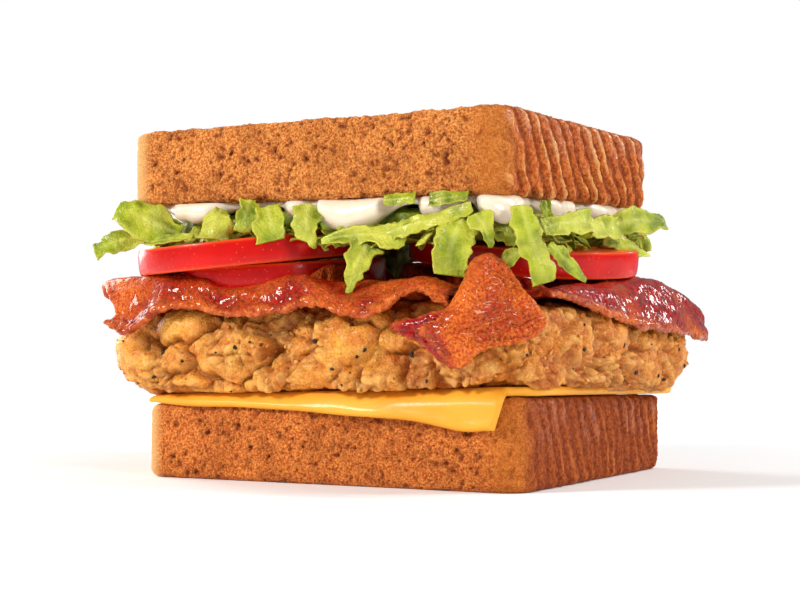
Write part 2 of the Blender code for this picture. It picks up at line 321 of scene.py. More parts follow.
def add(tree, kind, **values):
    """A new shader node with its inputs set or linked; _ stands for a space in a name."""
    node = tree.nodes.new("ShaderNode" + kind)
    for key, value in values.items():
        put(tree, node.inputs[key.replace("_", " ")], value)
    return node


def arithmetic(tree, operation, *numbers):
    """The result of a Math node."""
    node = add(tree, "Math")
    node.operation = operation
    for socket, value in zip(node.inputs, numbers):
        put(tree, socket, value)
    return node.outputs[0]


def mixed(tree, share, first, second, blend="MIX"):
    """Two colours mixed by share."""
    node = add(tree, "Mix")
    node.data_type = "RGBA"
    node.blend_type = blend
    for key, value in (("Factor", share), ("A", first), ("B", second)):
        put(tree, node.inputs[key], value)
    return node.outputs["Result"]


def eased(tree, value, low, high, new_low=0.0, new_high=1.0):
    """new_low up to low, new_high from high, smoothstep between."""
    node = add(tree, "MapRange", Value=value, From_Min=low, From_Max=high, To_Min=new_low,
               To_Max=new_high)
    node.interpolation_type = "SMOOTHSTEP"
    return node.outputs["Result"]


class Finish:
    """A material under construction: its node tree, its shader and short ways to add nodes."""

    def __init__(self, name, roughness=0.5, specular=0.5, coat=0.0, coat_roughness=0.1,
                 subsurface=0.0, depth=1.0):
        self.material = bpy.data.materials.new(name)
        self.material.use_nodes = True
        self.tree = self.material.node_tree
        self.shader = self.tree.nodes["Principled BSDF"]
        self.place = add(self.tree, "TexCoord").outputs["Object"]
        settings = {"Roughness": roughness, "Specular IOR Level": specular, "Coat Weight": coat,
                    "Coat Roughness": coat_roughness, "Subsurface Weight": subsurface,
                    "Subsurface Scale": depth * MM}
        for key, value in settings.items():
            self.shader.inputs[key].default_value = value
        if subsurface:
            self.shader.inputs["Subsurface Radius"].default_value = (1.0, 0.5, 0.25)

    def set(self, key, value):
        """Set or link one of the shader's inputs."""
        put(self.tree, self.shader.inputs[key], value)

    def field(self, name):
        """A point attribute of the piece."""
        node = add(self.tree, "Attribute")
        node.attribute_name = name
        return node.outputs["Fac"]

    def mix(self, *values):
        """Two colours mixed by share."""
        return mixed(self.tree, *values)

    def remap(self, *values):
        """A value eased between two levels."""
        return eased(self.tree, *values)

    def tint(self, base, field, strength, colour):
        """base moved towards colour by an attribute times strength."""
        return self.mix(arithmetic(self.tree, "MULTIPLY", self.field(field), strength), base, colour)

    def effect(self, group, **values):
        """A shared effect's output, in Object coordinates."""
        node = self.tree.nodes.new("ShaderNodeGroup")
        node.node_tree = group
        for key, value in values.items():
            put(self.tree, node.inputs[key], value)
        put(self.tree, node.inputs["Vector"], self.place)
        return node.outputs[0]

    def mottle(self, light, dark, scale, spread, detail):
        """Two colours in soft spots."""
        return self.effect(MOTTLE, Light=light, Dark=dark, Scale=scale, Spread=spread,
                           Detail=detail)

    def bump(self, height, distance, strength):
        """Relief of this many millimetres, over any relief the shader already has."""
        node = add(self.tree, "Bump", Height=height, Distance=distance * MM, Strength=strength)
        normal = self.shader.inputs["Normal"]
        if normal.is_linked:
            put(self.tree, node.inputs["Normal"], normal.links[0].from_socket)
        put(self.tree, normal, node.outputs["Normal"])

    def grain(self, scale, pits, distance, strength):
        """Fine relief all over."""
        self.bump(self.effect(GRAIN, Scale=scale, Pits=pits), distance, strength)


def new_group(name, inputs, output, output_type):
    """An empty shared effect with named inputs (name, type, default) and one output."""
    group = bpy.data.node_groups.new(name, "ShaderNodeTree")
    for key, kind, value in inputs:
        socket = group.interface.new_socket(key, in_out="INPUT", socket_type=kind)
        if value is not None:
            socket.default_value = value
    group.interface.new_socket(output, in_out="OUTPUT", socket_type=output_type)
    return group, group.nodes.new("NodeGroupInput").outputs, group.nodes.new("NodeGroupOutput").inputs


def mottle_group():
    """Two colours mixed by soft noise: share = smoothstep(0.5 - Spread, 0.5 + Spread, noise)."""
    group, given, result = new_group(
        "mottled_colour",
        (("Vector", "NodeSocketVector", None), ("Light", "NodeSocketColor", (1, 1, 1, 1)),
         ("Dark", "NodeSocketColor", (0, 0, 0, 1)), ("Scale", "NodeSocketFloat", 100.0),
         ("Spread", "NodeSocketFloat", 0.2), ("Detail", "NodeSocketFloat", 3.0)),
        "Color", "NodeSocketColor")
    texture = add(group, "TexNoise", Vector=given["Vector"], Scale=given["Scale"],
                  Detail=given["Detail"])
    low = arithmetic(group, "SUBTRACT", 0.5, given["Spread"])
    high = arithmetic(group, "ADD", 0.5, given["Spread"])
    share = eased(group, texture.outputs["Fac"], low, high)
    put(group, result["Color"], mixed(group, share, given["Dark"], given["Light"]))
    return group


def grain_group():
    """Fine relief: noise at Scale plus Pits times round hollows at twice the scale."""
    group, given, result = new_group(
        "fine_grain",
        (("Vector", "NodeSocketVector", None), ("Scale", "NodeSocketFloat", 1000.0),
         ("Pits", "NodeSocketFloat", 0.5)),
        "Height", "NodeSocketFloat")
    texture = add(group, "TexNoise", Vector=given["Vector"], Scale=given["Scale"], Detail=4.0,
                  Roughness=0.6)
    hollows = add(group, "TexVoronoi", Vector=given["Vector"],
                  Scale=arithmetic(group, "MULTIPLY", given["Scale"], 2.0))
    put(group, result["Height"], arithmetic(group, "MULTIPLY_ADD", hollows.outputs["Distance"],
                                            given["Pits"], texture.outputs["Fac"]))
    return group


MOTTLE = mottle_group()
GRAIN = grain_group()


# ------------------------------------------------------------------ bread
def rounded_plan(u, v, half_x, half_y, radius):
    """Where the boundary point (u, v) of the square [-1, 1]^2 falls on a rounded rectangle:
    the scaled point, pulled onto its corner's circle, with the outward direction there."""
    x = half_x * u
    y = half_y * v
    core_x = np.clip(x, radius - half_x, half_x - radius)
    core_y = np.clip(y, radius - half_y, half_y - radius)
    away = unit(np.stack([x - core_x, y - core_y], axis=-1))
    return core_x + radius * away[..., 0], core_y + radius * away[..., 1], away


def square_boundary(front, right, back, left):
    """(u, v) of the points round a square's edge, counter-clockwise from the corner (-1, -1),
    with this many steps on each side."""
    a, b, c, d = (np.linspace(-1.0, 1.0, count + 1)[:-1] for count in (front, right, back, left))
    u = np.concatenate([a, np.ones(right), -c, -np.ones(left)])
    v = np.concatenate([-np.ones(front), b, np.ones(back), -d])
    return u, v


def crumb_relief(points, seed, pore):
    """Toasted crumb: torn pits of two sizes in a rough sponge under soft lumps. Returns the
    height in millimetres and the pits, 0 to 1."""
    warp = np.stack([fractal(points, 2.0 * pore, seed + s, 2) for s in (1, 2, 3)], -1)
    near, _, mark = cells(points + 0.60 * pore * warp, pore * 2.1, seed)
    large = ease(1.0, 0.2, near / (0.15 + 0.45 * mark)) * (mark > 0.35)
    near, _, mark = cells(points + 0.45 * pore * warp, pore * 1.0, seed + 7)
    small = ease(1.0, 0.15, near / (0.25 + 0.40 * mark)) * (mark > 0.15)
    lumps = 0.30 * noise(points, 13.0, seed + 11) + 0.25 * noise(points, 5.0, seed + 12)
    sponge = fractal(points, 1.9, seed + 13, 2)
    height = lumps + CRUMB_DEPTH * (0.45 * sponge - 1.1 * large - 0.7 * small)
    return height, np.clip(0.75 * large + 0.65 * small - 0.35 * sponge, 0.0, 1.0)


def slice_relief(points, centre, half, seed, side):
    """Relief and looks of a slice. On the front the crumb is open, at the left and near
    corners it is smooth crust, and side describes the right-hand crust: the spacing, lean
    and depth of its ridges, and the size of the front's pores."""
    spacing, lean, ridge_depth, pore = side
    x, y, z = np.moveaxis(points - centre, -1, 0)
    start = -half[1] + 4.5 + 3.0 * noise(points, 5.0, seed + 26)
    right = ease(half[0] - 3.2, half[0] - 0.7, x) * ease(start - 3.5, start + 3.5, y)
    lit_left_corner = ease(-half[0] + 8.0, -half[0] + 3.5, x)
    near_corner = ease(half[0] - 15.0, half[0] - 5.0, x) * (1.0 - right)
    height, pit = crumb_relief(points, seed, pore)
    open_crumb = 1.0 - 0.80 * lit_left_corner - 0.45 * near_corner - 0.60 * right
    warp = 2.8 * noise(points, 14.0, seed + 21) + 1.2 * noise(points, 5.0, seed + 22)
    phase = (y + lean * z + warp) / spacing
    wave = phase - np.floor(phase)
    crest = np.where(wave < 0.30, wave / 0.30, (1.0 - wave) / 0.70)
    crest = ease(0.0, 1.0, crest) * (0.85 + 0.35 * noise(points, 8.0, seed + 24))
    fade = right * ease(half[1] + 1.0, half[1] - 9.0, y) * ease(1.02 * half[2], 0.70 * half[2], z)
    fibres = fractal(points * np.array([1.0, 1.6, 0.8]), 1.3, seed + 23, 3)
    height = (height * open_crumb + fade * ridge_depth * (crest - 0.45)
              + right * 0.26 * fibres)
    wet = ease(-0.1, 0.8, z / half[2] + 0.6 * noise(points, 7.0, seed + 25))
    wet = wet * min(1.0, ridge_depth / 1.5)
    level = 0.5 + (crest - 0.5 + 0.15 * fibres) * min(1.0, ridge_depth)
    # pit and crest carry painted shade and painted highlights; pale is the left corner's painted rim
    # light
    fields = {"pit": pit * open_crumb, "right": right, "crest": np.clip(level, 0, 1),
              "pale": lit_left_corner, "gold": near_corner, "wet": right * wet * ease(0.2, 0.7, crest)}
    return height, fields


def slice_mesh(low, high, under, over, corners, seed, side, cap_rings):
    """A slice: rings over its upper face, down a rounded wall and back under it. A ring is
    the rounded outline, inset along the rim's quarter turns and scaled in on the faces, and
    the relief then pushes it along the normal."""
    half = (high - low) / 2
    centre = (high + low) / 2
    u, v = square_boundary(336, 286, 190, 170)
    radius = np.where(u > 0, np.where(v > 0, corners[2], corners[1]),
                      np.where(v > 0, corners[3], corners[0]))
    turns = np.linspace(0.0, math.pi / 2, 8)
    wall = np.linspace(0.0, 1.0, 50)[1:-1]
    tip = np.concatenate([turns, 0 * wall + math.pi / 2, math.pi - turns[::-1]])[:, None]
    share = np.concatenate([0 * turns, wall, 0 * turns + 1.0])[:, None]
    inset = SLICE_EDGE * (1 - np.sin(tip))
    x, y, away = rounded_plan(u, v, half[0] - inset, half[1] - inset, radius - inset)
    x = x + centre[0]
    y = y + centre[1]
    z = ((over(x, y) - SLICE_EDGE) * (1 - share) + (under(x, y) + SLICE_EDGE) * share
         + SLICE_EDGE * np.cos(tip))
    normals = np.concatenate([away * np.sin(tip)[..., None],
                              np.broadcast_to(np.cos(tip)[..., None], x.shape + (1,))], -1)

    def face_rings(scales, face, up):
        """The outline scaled towards the middle, on a face, with upright normals."""
        scale = np.asarray(scales)[:, None]
        ring_x = centre[0] + scale * (x[0] - centre[0])
        ring_y = centre[1] + scale * (y[0] - centre[1])
        flat = np.zeros(ring_x.shape + (3,))
        flat[..., 2] = up
        return np.stack([ring_x, ring_y, face(ring_x, ring_y)], -1), flat

    upper, upper_normals = face_rings(np.linspace(0.02, 0.99, cap_rings), over, 1.0)
    lower, lower_normals = face_rings(np.linspace(0.98, 0.05, 9), under, -1.0)
    rings = np.concatenate([upper, np.stack([x, y, z], -1), lower])
    normals = np.concatenate([upper_normals, normals, lower_normals])
    height, fields = slice_relief(rings, centre, half, seed, side)
    if low[2] < 0.5:
        height = height * ease(0.0, 1.5, rings[..., 2])
    vertices, quads, triangles = capped_rings(rings + normals * height[..., None])
    return vertices, [quads, triangles], {key: ring_field(f) for key, f in fields.items()}


def toast_finish(name, light, dark, pit_shade_colour, right_light, right_dark, crest, seed_scale):
    """Toasted bread: mottled crumb, pits darkened with painted shade, smooth corners (the left
    one paled as painted rim light, the near one golden) and a browner ridged side with painted
    shade in its furrows and painted highlights on its wetter crests."""
    finish = Finish(name, roughness=0.75, specular=0.25, coat_roughness=0.16)
    crumb = finish.mottle(light, dark, seed_scale, 0.17, 6.0)
    broad = finish.mottle((1.08, 1.06, 1.04), (0.82, 0.75, 0.66), 80.0, 0.2, 4.0)
    crumb = finish.mix(1.0, crumb, broad, "MULTIPLY")
    # painted shade: the pits are pulled towards the shade colour
    crumb = finish.tint(crumb, "pit", 0.95, pit_shade_colour)
    side = finish.mottle(right_light, right_dark, 900.0, 0.16, 5.0)
    # painted shade in the furrows, then painted highlights on the crests
    side = finish.mix(finish.remap(finish.field("crest"), 0.42, 0.05, 0.0, 0.7), side, pit_shade_colour)
    side = finish.mix(finish.remap(finish.field("crest"), 0.66, 1.0, 0.0, 0.8), side, crest)
    shade = finish.tint(crumb, "gold", 0.6, display(200, 108, 26))
    # painted rim light: the left corner is paled
    shade = finish.tint(shade, "pale", 0.9, display(252, 188, 116))
    shade = finish.mix(finish.field("right"), shade, side)
    finish.set("Base Color", shade)
    finish.set("Roughness", finish.remap(finish.field("wet"), 0.0, 1.0, 0.75, 0.28))
    finish.set("Coat Weight", arithmetic(finish.tree, "MULTIPLY", finish.field("wet"), 0.9))
    finish.grain(1200.0, 0.8, 0.75, 1.0)
    return finish.material


def bread():
    """Both slices, each from its node's box."""
    # colours: crumb light and dark, painted shade for pits and furrows, side light and dark, painted
    # highlight for crests
    top_toast = toast_finish("toasted_top", display(255, 174, 90), display(196, 96, 30),
                             display(122, 44, 8), display(232, 128, 54), display(184, 80, 26),
                             display(254, 184, 108), 1500.0)
    bottom_toast = toast_finish("toasted_bottom", display(252, 160, 76), display(194, 86, 26),
                                display(118, 42, 8), display(192, 94, 34), display(148, 60, 16),
                                display(220, 122, 54), 1600.0)
    for node, under, over, corners, seed, side, finish, cap_rings in (
            ("bread_top", top_underside, top_face, (5.0, 9.0, 5.0, 9.0), 3,
             (8.2, 0.70, 1.9, 1.55), top_toast, 25),
            ("bread_bottom", lambda x, y: 0.0 * x, bottom_face, (6.5, 9.0, 6.0, 9.0), 47,
             (6.5, 0.35, 0.70, 1.3), bottom_toast, 12)):
        low, high = cad_box(node)
        vertices, faces, fields = slice_mesh(low, high, under, over, corners, seed, side, cap_rings)
        make_piece("toasted_" + node, vertices, faces, finish, [node], fields)


# ------------------------------------------------------------------ cheese
# how far the sheet hangs over the slice's front edge, from left to right
CHEESE_OVERHANG = (2.6, 4.2, 5.0, 5.4, 6.2, 7.0, 8.2, 9.0, 10.0, 11.8, 13.2, 13.0)


def cheese_mesh():
    """A thin sheet that lies on the slice, bends over its front edge and hangs: distance
    along the sheet becomes forward travel, then a quarter turn, then drop. How far it
    hangs over is a smooth curve through given lengths from left to right."""
    low, high = cad_box("cheese")
    slice_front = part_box("bread_bottom")[0].y / MM
    bend_y = slice_front + SLICE_EDGE
    radius = SLICE_EDGE + 0.5 + CHEESE_THICKNESS / 2
    rows, columns = 170, 200
    u = np.linspace(-1.0, 1.0, columns)
    u = 0.35 * np.sin(u * math.pi / 2) + 0.65 * u
    x = (low[0] + high[0]) / 2 + u * (high[0] - low[0]) / 2
    overhang = spline(CHEESE_OVERHANG, (u + 1) / 2)
    start = bend_y - high[1]
    share = np.concatenate([np.linspace(0, 0.05, 13)[:-1], np.linspace(0.05, 0.86, 41)[:-1],
                            np.linspace(0.86, 1.0, rows - 52)])[:, None]
    distance = start + share * (overhang - start)
    quarter = radius * math.pi / 2
    turn = np.clip(distance / radius, 0.0, math.pi / 2)
    forward = np.where(distance < 0, distance, radius * np.sin(turn))
    drop = radius * (1 - np.cos(turn)) + np.maximum(distance - quarter, 0)
    drop = np.where(distance < 0, 0.0, drop)
    grid_x = np.broadcast_to(x, distance.shape)
    tuck = 6.4 * ease(-9.0, 2.0, distance) + 2.6 * ease(2.0, 13.0, drop)
    grid_x = grid_x - tuck * ease(30.0, high[0], grid_x)
    grid_x = grid_x + 2.0 * ease(-44.0, -58.0, grid_x) * ease(-30.0, 0.0, distance)
    y = bend_y - forward
    grid_x = grid_x + 3.2 * ease(0.5, 1.0, u)[None, :] * ease(12.0, 30.0, y)
    z = bottom_face(grid_x, y) + 0.35 + CHEESE_THICKNESS / 2 - drop
    mid = np.stack([grid_x, y, z], -1)
    mid[..., 1] -= 0.55 * (0.6 + noise(mid, 15.0, 71)) * ease(1.0, 6.0, drop)
    mid[..., 2] += 0.25 * noise(mid, 20.0, 72) * ease(-8.0, -2.0, -abs(distance + 4.0))
    mid[..., 1] -= 0.50 * noise(mid * np.array([1.0, 1.0, 0.5]), 8.0, 73) * ease(3.0, 8.0, drop)
    from_side = np.minimum(u - u[0], u[-1] - u)[None, :] * (high[0] - low[0]) / 2
    edge = np.minimum(np.minimum(distance - start, overhang - distance), from_side)
    t = np.clip(edge / 1.25, 0.0, 1.0)
    taper = 1.0 - 0.35 * ease(-52.0, -62.0, grid_x)
    half = CHEESE_THICKNESS / 2 * taper * np.sqrt(1 - (1 - t) ** 2)
    half = half * (1 + 0.30 * bell(overhang - distance, 1.8, 1.2) * ease(2.0, 8.0, drop))
    return shell(mid, half)


def cheese():
    """The draped sheet and its smooth, slightly waxy finish."""
    vertices, quads = cheese_mesh()
    finish = Finish("sliced_cheese", roughness=0.48, specular=0.18, coat=0.14, coat_roughness=0.12,
                    subsurface=0.3, depth=2.5)
    finish.set("Base Color", finish.mottle(display(244, 178, 60), display(238, 156, 36), 45.0,
                                           0.3, 2.0))
    finish.grain(140.0, 0.0, 0.5, 0.4)
    make_piece("draped_cheese", vertices, [quads], finish.material, ["cheese"])


# ------------------------------------------------------------------ chicken
def chicken_base(rows):
    """The fillet without its breading: a rounded rectangle with two long lobes in plan and
    a blunt superellipse section whose underside sags past the slice, rows spaced closely
    round the side."""
    low, high = cad_box("chicken")
    u, v = square_boundary(250, 190, 140, 120)
    angle = np.arctan2(60.0 * v, 76.0 * u)
    half_x = np.where(np.cos(angle) > 0.0, high[0] - 3.0, -low[0] - 4.2)
    half_y = np.where(np.sin(angle) > 0.0, high[1], -low[1]) - 1.5
    outline = squircle(angle, half_x, half_y)
    lobes = (0.010 * np.sin(5 * angle + 0.7) + 0.008 * np.sin(9 * angle + 2.0)
             + 0.05 * (bell(angle, -2.58, 0.28) + bell(angle, 0.56, 0.28)))
    outline = outline * (1.0 + lobes)
    t = np.linspace(0.0, math.pi, 6001)
    power = np.where(t < math.pi / 2, 2 / 4.6, 2 / 7.5)
    ring = np.sin(t) ** power
    rise = np.sign(np.cos(t)) * abs(np.cos(t)) ** power
    travel = np.cumsum(np.hypot(np.gradient(ring) * 9.0, np.gradient(rise) * 15.0))
    even = np.linspace(travel[0], travel[-1], rows + 2)[1:-1]
    ring = np.interp(even, travel, ring)[:, None]
    rise = np.interp(even, travel, rise)[:, None]
    x = outline * np.cos(angle) * ring
    y = outline * np.sin(angle) * ring
    under = bottom_face(x, y) + CHEESE_THICKNESS + 0.1
    outside = np.maximum(abs(x) - 62.0, abs(y) - 54.0)
    under = under - 1.0 * ease(0.0, 3.0, outside) - 0.8 * ease(0.0, 5.0, x - 58.0)
    over = high[2] - 0.4 + 2.2 * ease(52.0, 24.0, np.hypot(x, 1.2 * y))
    widest = under + 0.42 * (over - under)
    z = widest + np.where(rise > 0, rise * (over - widest), rise * (widest - under))
    x = x + ease(-44.0, -78.0, x) * (8.0 * ease(0.1, 1.0, rise) + 8.5 * ease(0.0, -1.0, rise))
    return np.stack([x, y, z], -1)


# pepper flecks that stand out, as places near the fillet's side
PEPPER = (
    (-70.0, -50.0, 41.0), (-52.0, -60.0, 38.5), (-60.0, -56.0, 33.0), (-26.0, -61.0, 39.0),
    (-16.0, -61.0, 39.5), (2.0, -61.0, 40.5), (8.0, -61.0, 34.5), (14.0, -61.0, 46.0),
    (16.0, -61.0, 37.0), (32.0, -61.0, 38.0), (36.0, -61.0, 30.5), (69.0, -58.0, 36.0),
    (71.0, -28.0, 46.0), (71.0, -30.0, 39.0), (72.0, -2.0, 40.0), (74.0, 40.0, 38.5),
    (74.0, 46.0, 33.5), (73.0, 8.0, 31.0), (73.0, 24.0, 30.5), (73.0, 29.0, 29.5),
)

# knobs of meat that stand out of the fillet's side, and clefts with a minus: place,
# radius and height
KNOBS = (
    ((-43.0, -60.0, 45.0), 9.0, 2.6), ((-66.0, -56.0, 35.0), 11.0, 1.6),
    ((77.0, -31.0, 40.0), 12.0, 3.4), ((78.0, -6.0, 44.0), 11.0, 1.6),
    ((78.0, 20.0, 36.0), 12.0, 2.0), ((78.0, 46.0, 42.0), 13.0, 2.2), ((14.0, -61.0, 42.0), 12.0, 1.8),
    ((80.0, -17.0, 37.0), 6.5, -4.5), ((80.0, -15.0, 31.0), 5.0, -3.5), ((79.0, 6.0, 34.0), 5.0, -3.0),
    ((79.0, 33.0, 40.0), 5.5, -2.5), ((-15.0, -62.0, 37.0), 5.5, -3.2),
    ((-13.0, -62.0, 43.0), 5.0, -2.5),
)


def breading(points):
    """Breading relief: soft masses with creases between them, craggy nodules of three sizes
    and a crisp grain. Returns height in millimetres, how deep in a crease, for painted shade,
    and how high on a nodule, for a painted highlight."""
    warp = np.stack([fractal(points, 9.0, 200 + s, 3) for s in (1, 2, 3)], -1)
    bent = points + 3.0 * warp
    near, second, mark = cells(bent * np.array([1.0, 1.0, 1.15]), 19.0, 211)
    mass = 3.4 * dome(near, 0.85)
    crease = bell(second - near, 0.0, 0.08) * ease(-0.4, 0.25, noise(points, 18.0, 212))
    craggy = ease(-0.30, 0.30, noise(points, 14.0, 222) + 0.45 * ease(20.0, 70.0, points[..., 0]))
    near, second, mark = cells(bent, 7.5, 221)
    lump = dome(near, 0.75) * (0.35 + 0.65 * mark)
    gap = bell(second - near, 0.0, 0.13)
    near, second, mark = cells(points + 1.6 * warp, 3.4, 231)
    crumb = dome(near, 0.75, 1.5) * mark
    crumb_gap = bell(second - near, 0.0, 0.16)
    billow = 1.0 - abs(fractal(points + 0.6 * warp, 2.4, 235, 2))
    fine = fractal(points, 0.95, 241, 2)
    knob = 0.0 * near
    for spot, radius, rise in KNOBS:
        away = np.linalg.norm(points + 0.8 * warp - np.array(spot), axis=-1) / radius
        knob = knob + rise * np.clip(1.0 - away ** 2, 0, 1) ** 0.7
        craggy = craggy * (1.0 - 0.6 * ease(1.0, 0.5, away) * (rise > 0))
    height = (knob + mass - 2.8 * crease + (0.6 + 1.5 * craggy) * lump - 0.9 * gap * craggy
              + (0.2 + 0.9 * craggy) * crumb - 0.45 * crumb_gap * craggy
              - (0.15 + 0.45 * craggy) * billow + 0.14 * fine)
    # painted shade: darkening in creases, gaps, hollows and clefts
    hollow_shade = (0.95 * crease + 0.6 * gap * craggy + 0.35 * crumb_gap * craggy - 0.25 * crumb
              + 0.35 * ease(0.5, 1.0, billow) * craggy + 0.3 * np.maximum(-knob, 0.0))
    # painted highlight: paler crumbs and lumps
    peak = (0.35 + 0.5 * craggy) * crumb + 0.45 * lump * ease(0.9, 0.3, billow) + 0.12 * fine
    return height - height.mean(), np.clip(hollow_shade, 0, 1), np.clip(peak, 0, 1)


def scatter(name, places, normals, sizes, finish, seed):
    """Pebbles on the fillet at places, each scaled, pressed flat along its normal and turned
    by a random angle about it."""
    random = np.random.default_rng(seed)
    shape, faces = pebble(4, 7)
    helper = np.where(abs(normals[:, 2:3]) < 0.9, np.array([0.0, 0.0, 1.0]), np.array([1.0, 0, 0]))
    first = unit(np.cross(normals, helper))
    second = np.cross(normals, first)
    turn = random.uniform(0, 2 * math.pi, len(places))[:, None]
    side = np.cos(turn) * first + np.sin(turn) * second
    other = np.cross(normals, side)
    stretch = random.uniform(0.65, 1.35, (len(places), 2))
    jitter = 1.0 + 0.25 * random.standard_normal((len(places), len(shape), 1)).clip(-1.5, 1.5)
    local = shape[None] * jitter
    cloud = (places[:, None] + sizes[:, None, None] * (
        local[..., :1] * side[:, None] * stretch[:, None, :1]
        + local[..., 1:2] * other[:, None] * stretch[:, None, 1:]
        + local[..., 2:] * normals[:, None] * 0.6))
    offsets = (np.arange(len(places)) * len(shape))[:, None, None]
    all_faces = [(group[None] + offsets).reshape(-1, group.shape[1]) for group in faces]
    make_piece(name, cloud.reshape(-1, 3), all_faces, finish)


def pebble(rings, columns):
    """A closed ball of few faces, for scattered bits."""
    height = np.cos(np.linspace(0, math.pi, rings + 2))[1:-1]
    angle = np.arange(columns) * 2 * math.pi / columns
    radius = np.sqrt(1 - height ** 2)
    points = np.stack([radius[:, None] * np.cos(angle), radius[:, None] * np.sin(angle),
                       np.broadcast_to(height[:, None], (rings, columns))], -1)
    vertices, quads, triangles = capped_rings(points)
    vertices[-2:] = [[0, 0, 1], [0, 0, -1]]
    return vertices, [quads, triangles]


def bit_finish(name, roughness, light, dark, spot, spread, grain, strength):
    """Crumbs or pepper: mottled, with a fine grain."""
    finish = Finish(name, roughness=roughness, specular=0.4)
    finish.set("Base Color", finish.mottle(light, dark, spot, spread, 2.0))
    finish.grain(grain, 0.3, 0.1, strength)
    return finish.material


def breading_finish():
    """Golden crust, browner in broad patches and towards the right, with painted shade in the
    hollows and painted highlights on the peaks."""
    finish = Finish("crispy_breading", roughness=0.5, specular=0.3, coat=0.15, coat_roughness=0.25,
                    subsurface=0.08, depth=1.5)
    golden = finish.mottle(display(255, 192, 80), display(230, 140, 30), 150.0, 0.2, 4.0)
    browned = finish.mottle((1.0, 1.0, 1.0), (0.80, 0.63, 0.42), 45.0, 0.18, 3.0)
    golden = finish.mix(0.8, golden, browned, "MULTIPLY")
    speckle = finish.mottle((1.12, 1.10, 1.06), (0.78, 0.66, 0.50), 1500.0, 0.12, 3.0)
    golden = finish.mix(0.9, golden, speckle, "MULTIPLY")
    axes = add(finish.tree, "SeparateXYZ", Vector=finish.place)
    browner = finish.mix(1.0, golden, (0.85, 0.68, 0.40), "MULTIPLY")
    golden = finish.mix(finish.remap(axes.outputs["X"], -0.05, 0.07), golden, browner)
    # painted shade in the hollows and painted highlights on the nodules
    golden = finish.tint(golden, "hollow_shade", 0.68, display(148, 62, 6))
    golden = finish.tint(golden, "nodule_highlight", 0.75, display(252, 200, 112))
    finish.set("Base Color", golden)
    finish.set("Roughness", finish.remap(finish.field("nodule_highlight"), 0.0, 0.8, 0.42, 0.62))
    finish.grain(1300.0, 0.5, 0.60, 0.9)
    return finish.material


def chicken():
    """The breaded fillet, then its pepper and loose crumbs."""
    base = chicken_base(132)
    normals = ring_normals(base)
    height, hollow_shade, nodule_highlight = breading(base)
    side = ease(0.985, 0.7, normals[..., 2]) * ease(-0.99, -0.8, normals[..., 2])
    surface = base + normals * (height * (0.5 + 0.5 * side))[..., None]
    surface[..., 2] += 0.9 * ease(0.6, 0.95, normals[..., 2])
    vertices, quads, triangles = capped_rings(surface)
    make_piece("breaded_fillet", vertices, [quads, triangles], breading_finish(),
               ["chicken"], {"hollow_shade": ring_field(hollow_shade), "nodule_highlight": ring_field(nodule_highlight)})
    loose_bits(surface)


def loose_bits(surface):
    """Crumbs and pepper on the fillet's steep sides, by a seeded draw."""
    random = np.random.default_rng(5)
    flat_surface = surface.reshape(-1, 3)
    flat_normal = ring_normals(surface).reshape(-1, 3)
    upright = np.flatnonzero((abs(flat_normal[:, 2]) < 0.75) & (flat_surface[:, 2] < 50.0))
    chosen = random.choice(upright, CRUMB_COUNT, replace=False)
    scatter("breading_crumbs", flat_surface[chosen], flat_normal[chosen],
            random.uniform(0.25, 0.85, CRUMB_COUNT) ** 1.5,
            bit_finish("loose_crumbs", 0.55, display(236, 166, 78), display(198, 106, 28), 300.0,
                       0.12, 1800.0, 0.6), 6)
    # pepper: listed flecks on the front and right, then a sprinkle all round
    steep = flat_surface[upright]
    picked = [upright[np.argmin(((steep - spot) ** 2).sum(1))] for spot in np.array(PEPPER)]
    extra = random.choice(upright, PEPPER_SPRINKLE, replace=False)
    chosen = np.concatenate([picked, extra])
    sizes = np.concatenate([np.full(len(picked), 0.62), random.uniform(0.2, 0.55, len(extra))])
    sizes[1] = 0.95
    scatter("pepper_flecks", flat_surface[chosen] + 0.15 * flat_normal[chosen],
            flat_normal[chosen], sizes,
            bit_finish("black_pepper", 0.6, display(74, 50, 34), display(22, 14, 10), 900.0,
                       0.15, 2500.0, 0.8), 7)


# ------------------------------------------------------------------ bacon
def heave(surface, amount, period, phase):
    """Lets the hidden part of a rasher wave between the fillet under it and the tomato over
    it; amount, 0 to 1, says where."""
    x, y, z = np.moveaxis(surface, -1, 0)
    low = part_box("chicken")[1].z / MM + RASHER_RISE
    high = np.full(x.shape, low + 2.5)
    for node in TOMATOES:
        middle, normal, radius, thickness = cad_disc(node)
        face = middle[2] - (thickness / 2 + normal[0] * (x - middle[0])
                            + normal[1] * (y - middle[1])) / normal[2]
        over = np.hypot(x - middle[0], y - middle[1]) < radius + 2.0
        high = np.where(over, np.minimum(low + 9.0, face - RASHER_GAP), high)
    high = np.maximum(high, low)
    s = travel(surface[:, surface.shape[1] // 2])[:, None]
    wave = 0.5 + 0.5 * np.sin(2 * math.pi * s / period + phase)
    surface = surface.copy()
    surface[..., 2] = z + amount * (low + (high - low) * wave - z)
    return surface


def rasher_mesh(curves, rows, seed, tone_and_painted_light):
    """A rasher from smooth curves along it, its back first and its free edge last: across
    it a Catmull-Rom curve runs through them, and its back part heaves. Returns mesh and
    fields."""
    along = np.linspace(0.0, 1.0, rows)
    across = bunched(RASHER_COLUMNS)
    stations = np.stack([spline(knots, along) for knots in curves])
    surface = np.moveaxis(spline(stations, across), 0, 1)
    surface = heave(surface, ease(0.42, 0.22, across)[None, :], 21.0, seed)
    return crinkle(surface, seed, 0.7, tone_and_painted_light)


